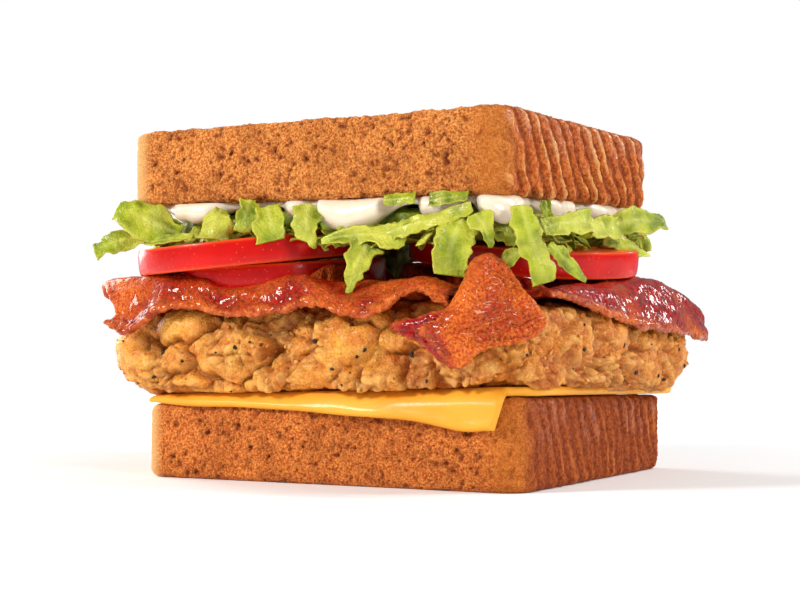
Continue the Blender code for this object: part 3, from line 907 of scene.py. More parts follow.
def crinkle(surface, seed, ragged, tone_and_painted_light):
    """Waves, fibres, ragged sides and rounded edges for a rasher's middle surface, worked
    out in its own length and width. tone is how bright the meat is, 0 to 1: partly its own
    colour, partly painted light and shade."""
    rows, columns = surface.shape[:2]
    s = travel(surface[:, columns // 2])[:, None]
    step = np.linalg.norm(np.diff(surface, axis=1), axis=2)
    w = np.concatenate([np.zeros((rows, 1)), np.cumsum(step, axis=1)], axis=1)
    width = w[:, -1:]
    w = w - width / 2
    flat = np.stack([s + 0 * w, w, np.full(w.shape, 3.7 * seed)], -1)
    lengthwise = flat * np.array([0.45, 1.0, 1.0])
    normal = unit(np.cross(np.gradient(surface, axis=1), np.gradient(surface, axis=0)))
    edge = abs(2 * w / width)
    wander = 3.0 * noise(flat, 26.0, seed + 1)
    streak = bell(w, -0.20 * width + wander, 1.4 + 0.9 * noise(flat, 12.0, seed + 2))
    rim = ease(0.82, 0.97, edge + 0.10 * noise(flat, 6.0, seed + 3))
    fat = np.clip(0.6 * streak + rim, 0, 1) * (0.7 + 0.5 * fractal(lengthwise, 2.4, seed + 5, 2))
    near, _, _ = cells(flat, 1.7, seed + 13)
    blister = dome(near, 0.7) * ease(-0.1, 0.6, noise(flat, 6.0, seed + 14))
    waves = (0.75 * noise(lengthwise, 5.5, seed + 6) + 0.36 * noise(lengthwise, 2.2, seed + 7)
             + 0.22 * fractal(flat, 1.2, seed + 8, 2) + 0.14 * blister + 0.22 * fat)
    side = unit(np.gradient(surface, axis=1))
    torn = ragged * (noise(flat, 5.0, seed + 9) + 0.6 * noise(flat, 1.9, seed + 10)) * edge ** 3
    surface = surface + normal * waves[..., None] + side * (torn * np.sign(w))[..., None]
    from_end = np.minimum(s, s[-1] - s)
    t = np.clip(np.minimum((1 - edge) * width / 2, from_end) / 1.1, 0.0, 1.0)
    swell = 1.0 + 0.25 * noise(flat, 8.0, seed + 11) + 0.25 * fat
    half = BACON_THICKNESS / 2 * np.sqrt(1 - (1 - t) ** 2) * swell
    vertices, quads = shell(surface, half)
    bright = np.clip(tone_and_painted_light + 0.30 * noise(flat, 9.0, seed + 12)
                     + 0.25 * noise(lengthwise, 2.6, seed + 15) + 0.2 * blister, 0, 1)
    return vertices, quads, {"fat": shell_field(np.clip(fat, 0, 1)), "tone_and_painted_light": shell_field(bright)}


def bacon_finish():
    """Cooked meat, deep red and wet to orange brown and dry by its tone, which also holds
    painted light and shade, with paler fat.
    """
    finish = Finish("glazed_bacon", roughness=0.34, specular=0.10, coat=0.5, coat_roughness=0.06)
    finish.set("Coat IOR", 1.34)
    deep = finish.mottle(display(180, 11, 2), display(104, 3, 1), 600.0, 0.2, 5.0)
    bright = finish.mottle(display(242, 130, 46), display(184, 58, 12), 1400.0, 0.18, 5.0)
    fat = finish.mottle(display(240, 142, 60), display(204, 76, 20), 600.0, 0.2, 4.0)
    # tone mixes deep and bright meat: partly the meat's own colour, partly painted light on lit lobes
    # and facets and painted shade under lips, on the turned-away tongue and in concavities
    shade = finish.mix(finish.field("tone_and_painted_light"), deep, bright)
    shade = finish.tint(shade, "fat", 0.7, fat)
    finish.set("Base Color", shade)
    finish.set("Roughness", finish.remap(finish.field("tone_and_painted_light"), 0.0, 1.0, 0.30, 0.50))
    finish.set("Coat Weight",
               finish.remap(finish.field("tone_and_painted_light"), 0.05, 0.65, 0.8, 0.35))
    finish.grain(1000.0, 0.3, 0.8, 1.0)
    return finish.material


def left_rasher(finish):
    """The rasher along the front edge; its curves run from its hidden back to its lip."""
    front_x = np.linspace(-70.5, 46.0, 12)
    inner = np.stack([front_x + 3.0,
                      [-34, -34, -34, -34, -34, -33, -32, -31, -30, -30, -31, -36],
                      [56.0, 55.8, 55.6, 55.6, 55.6, 56.0, 58.5, 60.5, 61.0, 60.5, 58.5, 56.0]], -1)
    back = np.stack([front_x + np.array([-10, -5, 1, 2, 2, 2, 2, 2, 2, 2, 2, 2]),
                     [-50, -49, -47, -46, -46, -46, -46, -47, -48, -49, -48, -50],
                     [60.2, 60.0, 57.4, 55.4, 54.8, 54.8, 56.0, 57.4, 60.0, 62.0, 59.0, 55.0]], -1)
    crest = np.stack([front_x + np.array([-4, -1, 0, 0, 0, 0, 0, 0, 0, 0, 0, 0]),
                      [-58, -58.5, -58, -57.5, -58.5, -59, -58, -60, -61.5, -62, -61, -62],
                      [56.5, 59.2, 60.0, 59.2, 56.2, 56.6, 59.2, 57.0, 52.6, 52.6, 57.4, 54.5]], -1)
    lip = np.stack([front_x + np.array([3, 2, 0, 0, 0, 0, 0, 0, 0, 0, 0, 0]),
                    [-62.5, -63.5, -62.5, -61.5, -62.5, -63, -62.5, -63, -64, -64.5, -63.5, -64.5],
                    [49.5, 48.5, 54.5, 55.0, 51.8, 51.8, 54.2, 53.6, 50.0, 50.4, 56.4, 52.8]], -1)
    free = np.stack([front_x + np.array([2, 1, 1, 1, 1, 1, 1, 1, 1, 1, 1, 1]),
                     [-67.0, -67.5, -65.5, -64, -64.5, -65, -65, -64.5, -65.5, -66, -65, -66],
                     [46.4, 43.4, 49.4, 50.4, 48.4, 48.0, 49.0, 50.8, 48.2, 48.6, 54.8, 50.8]], -1)
    share = np.linspace(0, 1, 300)[:, None]
    across = bunched(RASHER_COLUMNS)[None, :]
    # painted light and shade: the top of the left end is brightened and the lip under it darkened; the
    # far end is brighter
    tone_and_painted_light = (0.30 + 0.45 * ease(0.16, 0.05, share) * ease(0.85, 0.70, across)
            + 0.18 * ease(0.55, 0.75, share) - 0.25 * ease(0.25, 0.05, share) * ease(0.75, 0.9, across))
    vertices, quads, fields = rasher_mesh((inner, back, crest, lip, free), 300, 301, tone_and_painted_light)
    make_piece("rasher_left", vertices, [quads], finish, ["bacon_left"], fields)


def right_rasher(finish):
    """The rasher along the right edge, whose free side folds down over the fillet."""
    right_y = np.linspace(-42.0, 60.0, 9)
    inner = np.stack([[49, 46, 44, 43, 43, 43, 44, 46, 50], right_y + 2.0,
                      [60.0, 60.0, 59.5, 59.0, 58.5, 58.5, 58.0, 57.0, 55.0]], -1)
    back = np.stack([[56, 53, 52, 52, 53, 54, 54, 56, 60], right_y,
                     [54.0, 53.6, 53.6, 53.8, 54.4, 55.0, 55.4, 55.0, 54.0]], -1)
    crest = np.stack([[63, 64.5, 65, 65.5, 66.5, 68, 69.5, 71.5, 73.5], right_y,
                      [54.8, 55.6, 56.4, 57.4, 58.8, 59.6, 58.6, 55.8, 51.0]], -1)
    fold = np.stack([[65, 67.5, 69, 71, 72.5, 73.5, 74.4, 74.8, 75.2], right_y + np.linspace(0, 1, 9),
                     [54.6, 53.8, 52.0, 50.0, 48.8, 49.6, 50.0, 48.4, 45.4]], -1)
    free = np.stack([[66, 69, 71, 73, 74.2, 75, 75.4, 75.6, 75.4], right_y + np.linspace(0, 1, 9),
                     [54.0, 52.4, 49.6, 46.4, 44.4, 43.8, 43.2, 42.4, 41.2]], -1)
    vertices, quads, fields = rasher_mesh((inner, back, crest, fold, free), 260, 341, 0.0)
    make_piece("rasher_right", vertices, [quads], finish, ["bacon_right"], fields)


def middle_rasher(finish):
    """The rasher over the near corner: its left edge, fold and right edge run from inside,
    over the apex, to its tip, and across it the surface follows two straight slopes that
    meet softly along the fold."""
    left = [(-66, 50, 50), (-52, 30, 55.5), (-22, 8, 56.5), (14, -22, 57.5), (39, -40, 57),
            (51, -58, 62.5), (50.6, -63.5, 58.6), (49.6, -66, 54.6), (45.5, -67, 49.6),
            (37.6, -67.5, 46.8), (30, -67.5, 45.2), (38, -67.8, 41.6), (44.5, -68, 37.6),
            (50.0, -68.2, 34.4)]
    fold = [(-60, 56, 50), (-46, 40, 57), (-14, 18, 58), (20, -14, 58), (44, -34, 57.5),
            (54.5, -58, 64.0), (55, -65, 59.6), (54.8, -69, 54.5), (53.6, -70, 50.0),
            (51.5, -70.5, 46.8), (51, -70.5, 44), (51.5, -70.2, 40.8), (52.5, -69.6, 37.4),
            (52.2, -68.8, 34.2)]
    right = [(-54, 60, 50), (-40, 48, 55.5), (-8, 28, 56.5), (26, -6, 57.5), (50, -31, 57),
             (59, -56, 61.6), (62.6, -56, 57.6), (65.4, -55, 53.4), (68, -54, 49.6),
             (69.3, -53, 46), (67.5, -54.5, 43), (61, -60.5, 40.4), (56.2, -66.5, 38.6),
             (54.6, -68.4, 35.4)]
    along = np.linspace(0.0, 1.0, 340)
    v = 2 * bunched(RASHER_COLUMNS) - 1
    sharp = 0.14
    towards_right = ((np.sqrt(v ** 2 + sharp ** 2) + v) / 2)[None, :, None]
    towards_left = ((np.sqrt(v ** 2 + sharp ** 2) - v) / 2)[None, :, None]
    a, b, c = (spline(knots, along)[:, None] for knots in (left, fold, right))
    surface = b + (c - b) * towards_right + (a - b) * towards_left
    surface = heave(surface, ease(0.34, 0.27, along)[:, None], 24.0, 0.6)
    # painted shade: the tongue facet, turned away from the light, and the concavity above it are
    # darkened
    tongue = ease(0.60, 0.66, along)[:, None] * ease(-0.05, -0.3, v)[None, :]
    hollow_shade = bell(along, 0.62, 0.07)[:, None] * bell(v, 0.42, 0.25)[None, :]
    tone_and_painted_light = 0.80 * ease(0.25, 0.4, along)[:, None] * (1 - tongue) - 0.45 * hollow_shade
    vertices, quads, fields = crinkle(surface, 391, 0.6, tone_and_painted_light)
    make_piece("rasher_middle", vertices, [quads], finish, ["bacon_middle"], fields)


def bacon():
    """Three rashers in one finish."""
    finish = bacon_finish()
    left_rasher(finish)
    right_rasher(finish)
    middle_rasher(finish)


# ------------------------------------------------------------------ tomato
def tomato_slice(node, seed, thicker):
    """A slice from its disc: rings over the upper face, round the skin and back under, with
    sunken seed chambers in the faces."""
    centre, normal, radius, thickness = cad_disc(node)
    thickness = thickness + thicker
    columns = 240
    angle = np.arange(columns) * 2 * math.pi / columns
    lobed = radius * (0.988 + 0.010 * np.cos(5 * angle + seed) + 0.005 * np.cos(8 * angle + 2 * seed))
    face = np.linspace(0.03, 1.0, 52)
    turn = np.linspace(0.0, math.pi, 24)[1:-1]

    def rows(on_face, on_rim):
        """Values over the upper face, round the rim and back under."""
        return np.concatenate([on_face, on_rim, on_face[::-1]])

    reach = rows(face, 1.0 + 0 * turn)
    bulge = rows(0 * face, 0.7 * np.sin(turn) ** 0.7)
    lean = np.sign(np.cos(turn)) * abs(np.cos(turn)) ** 0.7
    rise = np.concatenate([1 + 0 * face, lean, -1 + 0 * face]) * thickness / 2
    x = (lobed[None, :] - 0.7) * reach[:, None] + bulge[:, None]
    share = reach[:, None] * np.ones(columns)[None, :]
    on_face = rows(face < 0.995, turn < 0)[:, None]
    chambers = 5 + seed % 2
    sector = np.cos(chambers * (angle + 0.15 * np.sin(2 * angle + seed)) + seed)[None, :]
    gel = (ease(0.10, 0.45, sector + 0.25 * np.sin(6 * share)) * ease(0.26, 0.36, share)
           * ease(0.86, 0.78, share) * on_face)
    flat = np.stack([x * np.cos(angle), x * np.sin(angle), rise[:, None] + 0 * x], -1)
    near, _, mark = cells(flat + 40.0 * seed, 3.4, seed + 400)
    seeds = ease(0.55, 0.25, near) * (mark > 0.35) * gel
    relief = (-0.55 * gel + 0.55 * seeds + 0.18 * noise(flat, 5.0, seed + 410) * on_face
              + 0.10 * noise(flat, 1.6, seed + 411) * on_face)
    height = rise[:, None] + np.sign(rise)[:, None] * relief
    x = x + 0.22 * noise(flat, 9.0, seed + 412)
    side = unit(np.array([1.0, 0.0, 0.0]) - normal * normal[0])
    other = np.cross(normal, side)
    points = (centre + (x * np.cos(angle))[..., None] * side
              + (x * np.sin(angle))[..., None] * other + height[..., None] * normal)
    skin = rows(ease(0.96, 1.0, face), 1 + 0 * turn)
    cut = rows(ease(0.94, 1.0, face), ease(0.72, 0.98, abs(lean)))
    vertices, quads, triangles = capped_rings(points)
    fields = {"skin": ring_field(skin[:, None] + 0 * x), "cut": ring_field(cut[:, None] + 0 * x),
              "gel": ring_field(gel), "seed": ring_field(seeds + 0 * x)}
    return vertices, [quads, triangles], fields


def tomato_finish():
    """Deep red skin with specks of painted highlight, paler flesh, amber gel and seeds."""
    finish = Finish("ripe_tomato", roughness=0.30, specular=0.18, coat=0.12, coat_roughness=0.08,
                    subsurface=0.12, depth=2.0)
    flesh = finish.mottle(display(240, 112, 44), display(216, 62, 24), 160.0, 0.25, 4.0)
    shade = finish.tint(flesh, "gel", 0.5, display(206, 88, 18))
    shade = finish.mix(finish.field("seed"), shade, display(236, 186, 104))
    skin = finish.mottle(display(214, 14, 6), display(184, 5, 3), 70.0, 0.3, 2.0)
    # painted highlight: small glints on the skin
    glint_cells = add(finish.tree, "TexVoronoi", Vector=finish.place, Scale=700.0)
    glint_share = finish.remap(glint_cells.outputs["Distance"], 0.20, 0.08, 0.0, 0.45)
    skin = finish.mix(glint_share, skin, display(246, 120, 70))
    shade = finish.mix(finish.field("skin"), shade, skin)
    finish.set("Base Color", finish.tint(shade, "cut", 0.55, display(240, 96, 40)))
    finish.grain(420.0, 0.15, 0.22, 0.45)
    return finish.material


def tomatoes():
    """All slices share one finish."""
    finish = tomato_finish()
    for order, (node, thicker) in enumerate((("tomato_left", 0.2), ("tomato_lower", 2.2),
                                             ("tomato_back", 0.0), ("tomato_right", 0.0))):
        vertices, faces, fields = tomato_slice(node, 3 + order, thicker)
        make_piece("sliced_" + node, vertices, faces, finish, [node], fields)


# ------------------------------------------------------------------ lettuce
# listed leaves: path, half widths along it, the way the leaf faces, ruffle, paleness
HERO_LEAVES = (
    ([(-58, -53, 73.5), (-69.5, -60.5, 71), (-75, -63.5, 68.6)],
     [2.6, 3.4, 3.2], (0.2, -0.8, 0.5), 0.9, 0.35),
    ([(-50, -54, 73), (-57.5, -57, 76), (-64, -58.5, 79.5), (-70, -59, 81.5)],
     [3.0, 6.2, 6.0, 2.4], (0.3, -0.8, 0.5), 0.9, 0.30),
    ([(-60, -58, 70.8), (-50, -58.5, 71.6), (-42, -58, 72.3)],
     [0.9, 1.8, 1.2], (0.3, -0.7, 0.6), 0.4, 0.15),
    ([(-34.5, -54.5, 80.6), (-34, -58, 76), (-33.8, -60, 71)],
     [1.8, 5.0, 4.6], (0.4, -0.9, 0.1), 1.3, 0.70),
    ([(-25, -53.5, 83), (-24, -57, 78), (-25.5, -58.5, 73)],
     [2.6, 3.0, 2.2], (0.4, -0.9, 0.2), 0.6, 0.25),
    ([(-17.5, -55.5, 80.6), (-15, -58, 75), (-13.5, -58.5, 70)],
     [3.8, 4.2, 4.4], (0.4, -0.9, 0.2), 0.4, 0.15),
    ([(-4, -55, 80.6), (-3, -58, 74.5), (0, -57.5, 67.5)],
     [5.0, 3.6, 0.5], (0.4, -0.9, 0.1), 0.8, 0.35),
    ([(2, -57.5, 69.3), (11, -57, 71), (21, -57, 70.4), (29, -56.5, 69.6)],
     [0.8, 2.6, 3.4, 2.8], (0.4, -0.8, 0.4), 1.0, 0.55),
    ([(17, -57, 68.5), (14.5, -59.5, 62), (12.4, -60.5, 53.5)],
     [4.6, 3.2, 0.4], (0.4, -0.9, 0.1), 0.8, 0.45),
    ([(21, -56.5, 70.8), (29.6, -57, 73.2), (39, -57, 75.0), (49, -56.5, 78.2)],
     [3.0, 3.0, 2.5, 1.4], (0.4, -0.8, 0.4), 1.0, 0.45),
    ([(46, -55, 75), (45.3, -60, 67.5), (44.4, -61, 59)],
     [2.6, 5.4, 4.4], (0.45, -0.9, 0.1), 0.6, 0.20),
    ([(49.5, -54.5, 76), (53.5, -56.5, 72), (55.2, -57, 66.4)],
     [2.6, 2.8, 0.9], (0.5, -0.8, 0.2), 0.7, 0.25),
    ([(53, -49, 73), (58, -45, 69.5)],
     [3.2, 3.4], (0.5, -0.8, 0.2), 0.6, 0.10),
    ([(58.5, -46, 66), (56.5, -49, 63.6), (55, -51, 61.5)],
     [0.8, 2.4, 1.6], (0.5, -0.8, 0.1), 0.4, 0.25),
    ([(61.5, -51.5, 78), (65, -55.5, 71.8), (68, -56, 64.4), (70, -55, 56.6)],
     [2.9, 3.6, 3.6, 2.9], (0.6, -0.8, 0.2), 0.5, 0.30),
    ([(65.5, -42, 67.6), (69, -39, 63.6), (72, -31, 58)],
     [1.4, 2.8, 0.5], (0.8, -0.6, 0.2), 0.6, 0.30),
    ([(62.5, -39, 72.6), (66, -22, 74.8), (67, -6, 74.6), (66, 9, 74.8)],
     [2.6, 3.6, 3.4, 3.8], (0.8, -0.5, 0.3), 1.6, 0.35),
    ([(62, 7, 72.6), (67, 14, 70), (70, 25, 67.4)],
     [2.2, 2.4, 0.4], (0.8, -0.5, 0.3), 0.6, 0.40),
    ([(62, 11, 76.8), (68, 21, 78), (72, 32, 78.2)],
     [2.6, 4.8, 3.2], (0.7, -0.6, 0.4), 1.5, 0.20),
    ([(61, -34, 80.6), (63, -37, 76)],
     [1.4, 1.6], (0.6, -0.7, 0.2), 0.4, 0.05),
    ([(21, -55, 80.6), (31, -55, 81.6)],
     [1.6, 1.6], (0.4, -0.8, 0.4), 0.5, 0.10),
    ([(35, -54.5, 80.2), (47, -54, 81.4)],
     [1.9, 1.8], (0.4, -0.8, 0.4), 0.6, 0.15),
)


def leaf(path, half_widths, facing, ruffle, pale, seed, rows, columns):
    """One shred: a smooth path, widened to both sides in the plane that faces the given
    way, cupped, ruffled towards its torn edges and crinkled all over. Returns mesh, fields."""
    along = np.linspace(0.0, 1.0, rows)
    spine = spline(np.array(path, float), along)
    width = np.maximum(spline(np.array(half_widths, float), along), 0.25)
    tangent = unit(np.gradient(spine, axis=0))
    side = unit(np.cross(tangent, np.array(facing, float)))
    normal = np.cross(side, tangent)
    length = travel(spine)[-1]
    v = np.linspace(-1, 1, columns)
    v = 0.4 * np.sin(v * math.pi / 2) + 0.6 * v
    s = along[:, None] * length
    phase = 1.7 * seed
    flat = np.stack([s + 0 * v, v * width[:, None] + 0 * s, np.full((rows, columns), 9.1 * seed)], -1)
    tear = 1.1 * noise(flat, 3.0, seed) + 0.7 * noise(flat, 1.3, seed + 1)
    reach = v * width[:, None]
    reach = reach + v * np.clip(tear, -1.1, 1.1) * np.minimum(width[:, None] / 3.0, 1.0)
    waves = np.sin(s / 2.1 + phase + 1.1 * np.sign(v) + 1.5 * noise(flat, 6.0, seed + 3))
    lift = ruffle * (0.80 * waves * abs(v) ** 1.6 * np.minimum(width[:, None] / 2.5, 1.0)
                     + 0.70 * noise(flat, 4.5, seed + 2)) + 0.30 * noise(flat, 1.6, seed + 4)
    lift = lift + 0.22 * width[:, None] * v ** 2 * math.sin(phase * 2.3)
    surface = (spine[:, None] + side[:, None] * reach[..., None] + normal[:, None] * lift[..., None])
    rib = bell(v[None, :] + 0 * s, 0.1 * math.sin(phase), 0.16) * ease(1.1, 0.2, along)[:, None]
    thick = LEAF_THICKNESS / 2 * (1.0 + 1.0 * rib)
    border = np.minimum(1 - abs(v)[None, :] + 0 * s, 12 * np.minimum(along, 1 - along)[:, None] + 0 * v)
    half = thick * np.sqrt(1 - (1 - np.clip(border / 0.12, 0, 1)) ** 2)
    vertices, quads = shell(surface, half)
    blotch = pale + 0.5 * noise(flat, 5.0, seed + 5) + 0.25 * noise(flat, 2.0, seed + 6)
    fields = {"pale": shell_field(np.clip(blotch, 0, 1)), "rib": shell_field(rib),
              "edge": shell_field(ease(0.72, 1.0, abs(v)[None, :] + 0 * s)),
              "leaf_u": shell_field(flat[..., 0] + 13.0 * seed), "leaf_v": shell_field(flat[..., 1])}
    return vertices, quads, fields


def join(parts):
    """One mesh from many: vertices, quads and fields laid end to end."""
    starts = np.cumsum([0] + [len(p[0]) for p in parts[:-1]])
    vertices = np.concatenate([p[0] for p in parts])
    quads = np.concatenate([p[1] + start for p, start in zip(parts, starts)])
    fields = {key: np.concatenate([p[2][key] for p in parts]) for key in parts[0][2]}
    return vertices, quads, fields


def rim_point(angle):
    """Point of the heap's rounded rim in a direction, and the outward direction there."""
    half_x, half_y = HEAP_HALF
    reach = squircle(angle, half_x, half_y)
    away = np.array([math.copysign(abs(math.cos(angle) / half_x) ** 5, math.cos(angle)),
                     math.copysign(abs(math.sin(angle) / half_y) ** 5, math.sin(angle)), 0.0])
    return np.array([reach * math.cos(angle) - 4.0, reach * math.sin(angle), 0.0]), unit(away)


def loose_leaves(count, seed):
    """Shreds round the rest of the rim: each starts in the heap, comes out over the rim and
    hangs a little, by a seeded draw."""
    random = np.random.default_rng(seed)
    parts = []
    for order in range(count):
        angle = 2 * math.pi * (order + random.uniform(-0.4, 0.4)) / count
        rim, away = rim_point(angle)
        shown = rim[1] < -40 or (rim[0] > 50 and rim[1] < 30)
        out = random.uniform(-7.0, -2.5) if shown else random.uniform(-1.0, 6.0)
        sideways = np.array([-away[1], away[0], 0.0]) * random.uniform(-9.0, 9.0)
        top = random.uniform(69.5, 75.0) if shown else random.uniform(72.0, 80.0)
        drop = random.uniform(0.0, 3.5) if shown else random.uniform(1.0, 9.0)
        start = rim - away * 14.0 + np.array([0, 0, top - 1.0])
        middle = rim + away * (out - 2.0) + 0.4 * sideways
        middle = middle + np.array([0, 0, top + random.uniform(-1, 1)])
        end = rim + away * (out + 2.5) + sideways + np.array([0, 0, top - drop])
        width = random.uniform(1.6, 4.0)
        facing = away * 0.6 + np.array([0, 0, 0.8]) + 0.4 * random.standard_normal(3)
        parts.append(leaf([start, middle, end], [width * 0.9, width, width * random.uniform(0.2, 0.9)],
                          facing, random.uniform(0.6, 1.5), random.uniform(0.0, 0.55),
                          500 + seed + order, 22, 11))
    return parts


def lettuce_core():
    """The middle of the heap: a smaller solid between the mayonnaise and the tomatoes, which
    fills the space round the slices down to the bacon."""
    rows = 60
    u, v = square_boundary(72, 58, 72, 58)
    angle = np.arctan2(HEAP_HALF[1] * v, HEAP_HALF[0] * u)
    outline = squircle(angle, *CORE_HALF)
    outline = outline * (1 + 0.02 * np.sin(17 * angle) + 0.015 * np.sin(29 * angle + 1))
    t = np.linspace(0.0, math.pi, rows + 2)[1:-1, None]
    ring = np.sin(t) ** 0.5
    rise = np.sign(np.cos(t)) * abs(np.cos(t)) ** 0.5
    x = outline * np.cos(angle) * ring
    y = outline * np.sin(angle) * ring
    inner = (abs(x / 48.0) ** 6 + abs((y - 8.0) / 18.0) ** 6) ** (1 / 6)
    x = x + TOP_CENTRE_X
    top = top_underside(x, y) - 1.6
    bottom = 57.6 + 12.8 * ease(0.85, 1.08, inner)
    for node in TOMATOES:
        middle, normal, radius, thickness = cad_disc(node)
        face = middle[2] + (thickness / 2 + 0.3 - normal[0] * (x - middle[0])
                            - normal[1] * (y - middle[1])) / normal[2]
        outside = np.hypot(x - middle[0], y - middle[1]) - radius
        bottom = np.maximum(bottom, face - 2.2 * np.maximum(outside, 0.0))
    z = (top + bottom) / 2 + rise * (top - bottom) / 2
    rings = np.stack([x, y, z], -1)
    relief = 0.9 * noise(rings, 6.0, 610) + 0.5 * noise(rings, 2.2, 611)
    rings = rings + ring_normals(rings) * (relief * ring ** 4)[..., None]
    return capped_rings(rings)


def leaf_finish():
    """Crisp leaf: yellow-green blade, pale ribs and torn edges, a crinkle and a net of fine
    veins that follow the leaf's own coordinates."""
    finish = Finish("lettuce_leaf", roughness=0.38, specular=0.25, coat=0.12, coat_roughness=0.12,
                    subsurface=0.2, depth=0.8)
    deep = finish.mottle(display(160, 172, 14), display(94, 114, 3), 160.0, 0.2, 4.0)
    own = add(finish.tree, "CombineXYZ", X=finish.field("leaf_u"), Y=finish.field("leaf_v"))
    veins = add(finish.tree, "TexVoronoi", Vector=own.outputs[0], Scale=0.50)
    veins.feature = "DISTANCE_TO_EDGE"
    net = finish.remap(veins.outputs["Distance"], 0.10, 0.0)
    shade = finish.mix(finish.field("pale"), deep, display(206, 204, 74))
    shade = finish.mix(arithmetic(finish.tree, "MULTIPLY", net, 0.12), shade, display(214, 212, 90))
    shade = finish.tint(shade, "rib", 0.35, display(228, 222, 126))
    shade = finish.tint(shade, "edge", 0.40, display(222, 214, 84))
    finish.set("Base Color", shade)
    finish.bump(net, 0.20, 0.35)
    finish.grain(520.0, 0.2, 0.9, 0.8)
    return finish.material


def core_finish():
    """Shaded leaves deep in the heap."""
    finish = Finish("lettuce_heart", roughness=0.5, specular=0.4)
    finish.set("Base Color", finish.mottle(display(150, 166, 44), display(84, 104, 16), 220.0,
                                           0.15, 4.0))
    finish.grain(260.0, 0.4, 0.8, 0.9)
    return finish.material


def lettuce():
    """Listed leaves in front, loose shreds all round and a core that fills the heap."""
    blade = leaf_finish()
    heroes = [leaf(path, widths, facing, ruffle, pale, 700 + 7 * order, 34, 17)
              for order, (path, widths, facing, ruffle, pale) in enumerate(HERO_LEAVES)]
    vertices, quads, fields = join(heroes)
    make_piece("lettuce_leaves", vertices, [quads], blade, (), fields)
    vertices, quads, fields = join(loose_leaves(92, 900) + loose_leaves(60, 1200))
    make_piece("lettuce_shreds", vertices, [quads], blade, (), fields)
    vertices, quads, triangles = lettuce_core()
    make_piece("lettuce_heap", vertices, [quads, triangles], core_finish(), ["lettuce"])


# ------------------------------------------------------------------ mayonnaise
# soft blobs at the slice's edge: x, y, how deep, how wide
BLOBS = (
    (-45.0, -51.0, 4.2, 9.5), (-62.0, -30.0, 2.4, 9.0), (-11.0, -51.5, 2.8, 4.2),
    (9.0, -51.0, 8.6, 10.5), (35.0, -51.5, 4.4, 5.2), (55.5, -48.5, 6.8, 8.0),
    (56.5, -34.0, 1.6, 6.0), (56.0, -11.0, 4.6, 12.0),
    (56.0, 23.5, 4.0, 14.0), (54.0, 46.0, 3.0, 8.0), (30.0, 50.0, 3.2, 10.0), (-10.0, 50.5, 4.0, 11.0),
    (-44.0, 49.0, 3.0, 9.0), (-63.0, 24.0, 3.2, 9.0), (-64.0, -2.0, 2.2, 7.0),
)


def mayonnaise():
    """A film under the top slice that swells into dollops at its edge: its depth is the
    film's plus, for each dollop, deep * exp(-(distance / wide)^3), and its rim is a half
    circle of that depth."""
    u, v = square_boundary(220, 190, 120, 100)
    rim_x, rim_y, away = rounded_plan(u, v, *FILM_HALF, 8.0)
    rim_x = rim_x + TOP_CENTRE_X

    def depth_at(x, y):
        """Depth of the mayonnaise at a place."""
        swell = sum(deep * np.exp(-(np.hypot(x - blob_x, y - blob_y) / wide) ** 3)
                    for blob_x, blob_y, deep, wide in BLOBS)
        place = np.stack([x, y, 0 * x], -1)
        waver = 1.0 + 0.14 * noise(place, 8.0, 811) + 0.08 * noise(place, 3.5, 813)
        return (FILM_DEPTH + swell) * waver

    depth = depth_at(rim_x, rim_y)
    rim = np.stack([rim_x, rim_y, 0 * rim_x], -1)
    push = -3.0 + 5.0 * ease(1.5, 6.0, depth) + 0.5 * noise(rim, 7.0, 814)
    turn = np.linspace(0.0, math.pi, 26)[:, None]
    shift = push - 0.42 * depth * (1 - np.sin(turn))
    edge_x = rim_x + away[:, 0] * shift
    edge_y = rim_y + away[:, 1] * shift
    upper = np.linspace(0.05, 0.97, 7)[:, None]
    lower = (1 - np.linspace(0.1, 0.98, 34) ** 1.6)[:, None]
    x = np.concatenate([TOP_CENTRE_X + upper * (edge_x[:1] - TOP_CENTRE_X), edge_x,
                        TOP_CENTRE_X + lower * (edge_x[-1:] - TOP_CENTRE_X)])
    y = np.concatenate([upper * edge_y[:1], edge_y, lower * edge_y[-1:]])
    share = np.concatenate([0 * upper, 0.5 - 0.5 * np.cos(turn), 0 * lower + 1.0])
    z = top_underside(x, y) + 0.1 - depth_at(x, y) * share
    vertices, quads, triangles = capped_rings(np.stack([x, y, z], -1))
    finish = Finish("mayonnaise_cream", roughness=0.20, specular=0.5, coat=0.5, coat_roughness=0.08,
                    subsurface=0.30, depth=2.5)
    finish.set("Base Color", finish.mottle(display(238, 224, 202), display(232, 214, 186), 60.0,
                                           0.3, 2.0))
    finish.grain(200.0, 0.0, 0.5, 0.35)
    make_piece("mayonnaise_layer", vertices, [quads, triangles], finish.material,
               ["mayonnaise"])


# ------------------------------------------------------------------ stage, light, camera
def aim(thing, place, target):
    """Put a light or camera at place, looking at target."""
    thing.location = place
    thing.rotation_mode = "QUATERNION"
    thing.rotation_quaternion = (Vector(target) - Vector(place)).to_track_quat("-Z", "Y")
    bpy.context.scene.collection.objects.link(thing)


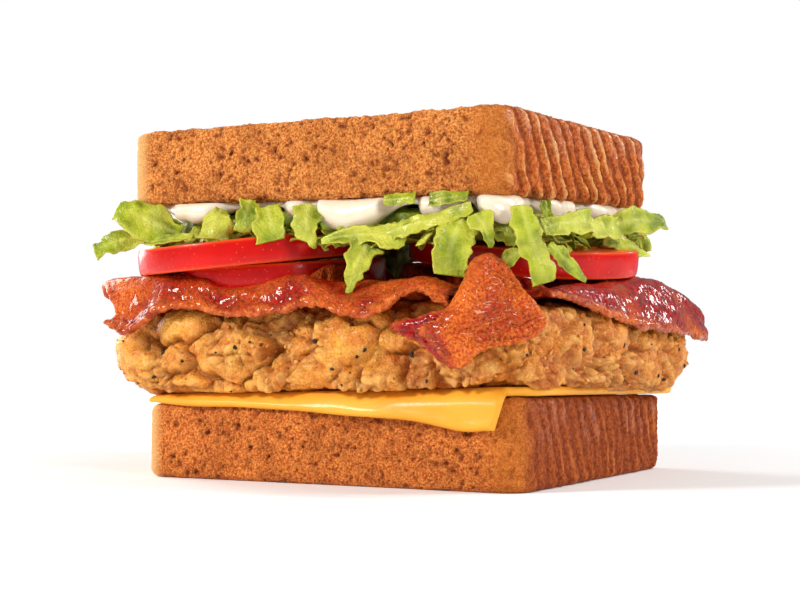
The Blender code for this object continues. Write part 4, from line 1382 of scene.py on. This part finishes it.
def studio():
    """A pale floor that glows more away from its middle as painted light, a bright surround
    behind a dimmer one that lights, and soft boxes: key from the front left, a rim from behind
    the left, a fill and a strip from the right, and a small one low behind the right that the
    wet crusts and rashers catch."""
    mesh = bpy.data.meshes.new("pale_floor")
    turns = [2 * math.pi * step / 128 for step in range(128)]
    mesh.from_pydata([(FLOOR_RADIUS * math.cos(a), FLOOR_RADIUS * math.sin(a), 0.0) for a in turns],
                     [], [tuple(range(128))])
    floor = bpy.data.objects.new("pale_floor", mesh)
    bpy.context.scene.collection.objects.link(floor)
    finish = Finish("floor_paint_and_glow", roughness=0.9, specular=0.1)
    finish.set("Base Color", finish.mottle((0.93, 0.93, 0.93), (0.91, 0.91, 0.91), 3.0, 0.4, 1.0))
    away = add(finish.tree, "VectorMath")
    away.operation = "LENGTH"
    put(finish.tree, away.inputs[0], finish.place)
    # painted light: the floor glows more with distance from its middle, so far away it reads white
    finish.set("Emission Strength", 0.35)
    finish.set("Emission Color", finish.remap(away.outputs["Value"], 0.12, 0.45))
    mesh.materials.append(finish.material)
    world = bpy.data.worlds.new("studio_surround")
    bpy.context.scene.world = world
    world.use_nodes = True
    tree = world.node_tree
    lighting = tree.nodes["Background"]
    lighting.inputs["Color"].default_value = (1.0, 1.0, 1.0, 1.0)
    lighting.inputs["Strength"].default_value = 0.30
    seen = tree.nodes.new("ShaderNodeBackground")
    seen.inputs["Color"].default_value = (1.0, 1.0, 1.0, 1.0)
    path = tree.nodes.new("ShaderNodeLightPath")
    blend = tree.nodes.new("ShaderNodeMixShader")
    tree.links.new(path.outputs["Is Camera Ray"], blend.inputs[0])
    tree.links.new(lighting.outputs[0], blend.inputs[1])
    tree.links.new(seen.outputs[0], blend.inputs[2])
    tree.links.new(blend.outputs[0], tree.nodes["World Output"].inputs["Surface"])
    warm = (1.0, 0.98, 0.95)
    white = (1.0, 1.0, 1.0)
    for name, place, size, energy, colour in (
            ("key", (-0.65, -0.90, 0.60), (0.26, 0.26), 12.6, warm),
            ("rim", (-0.85, 0.25, 0.35), (0.35, 0.6), 6.0, warm),
            ("fill", (0.95, -0.50, 0.40), (0.25, 0.25), 4.6, white),
            ("strip", (0.60, 0.20, 0.65), (0.12, 0.5), 4.0, white),
            ("back", (0.50, 0.80, 0.42), (0.10, 0.12), 1.0, white)):
        light = bpy.data.lights.new(name, "AREA")
        light.shape = "RECTANGLE"
        light.size, light.size_y = size
        light.energy = energy
        light.color = colour
        aim(bpy.data.objects.new(name, light), place, (0.0, 0.0, 0.055))


def camera():
    """Seen from low at the near corner, as from a table's edge."""
    heading = math.radians(28.7)
    pitch = math.radians(1.26)
    lens = bpy.data.cameras.new("camera")
    lens.sensor_width = 36.0
    lens.lens = 75.7
    lens.clip_start = 0.01
    lens.clip_end = 50.0
    place = Vector((0.2512, -0.4660, 0.0424))
    ahead = Vector((-math.sin(heading) * math.cos(pitch), math.cos(heading) * math.cos(pitch),
                    math.sin(pitch)))
    thing = bpy.data.objects.new("camera", lens)
    aim(thing, place, place + ahead)
    bpy.context.scene.camera = thing


bpy.context.scene.view_settings.view_transform = "Standard"
bread()
cheese()
chicken()
bacon()
tomatoes()
lettuce()
mayonnaise()
studio()
camera()
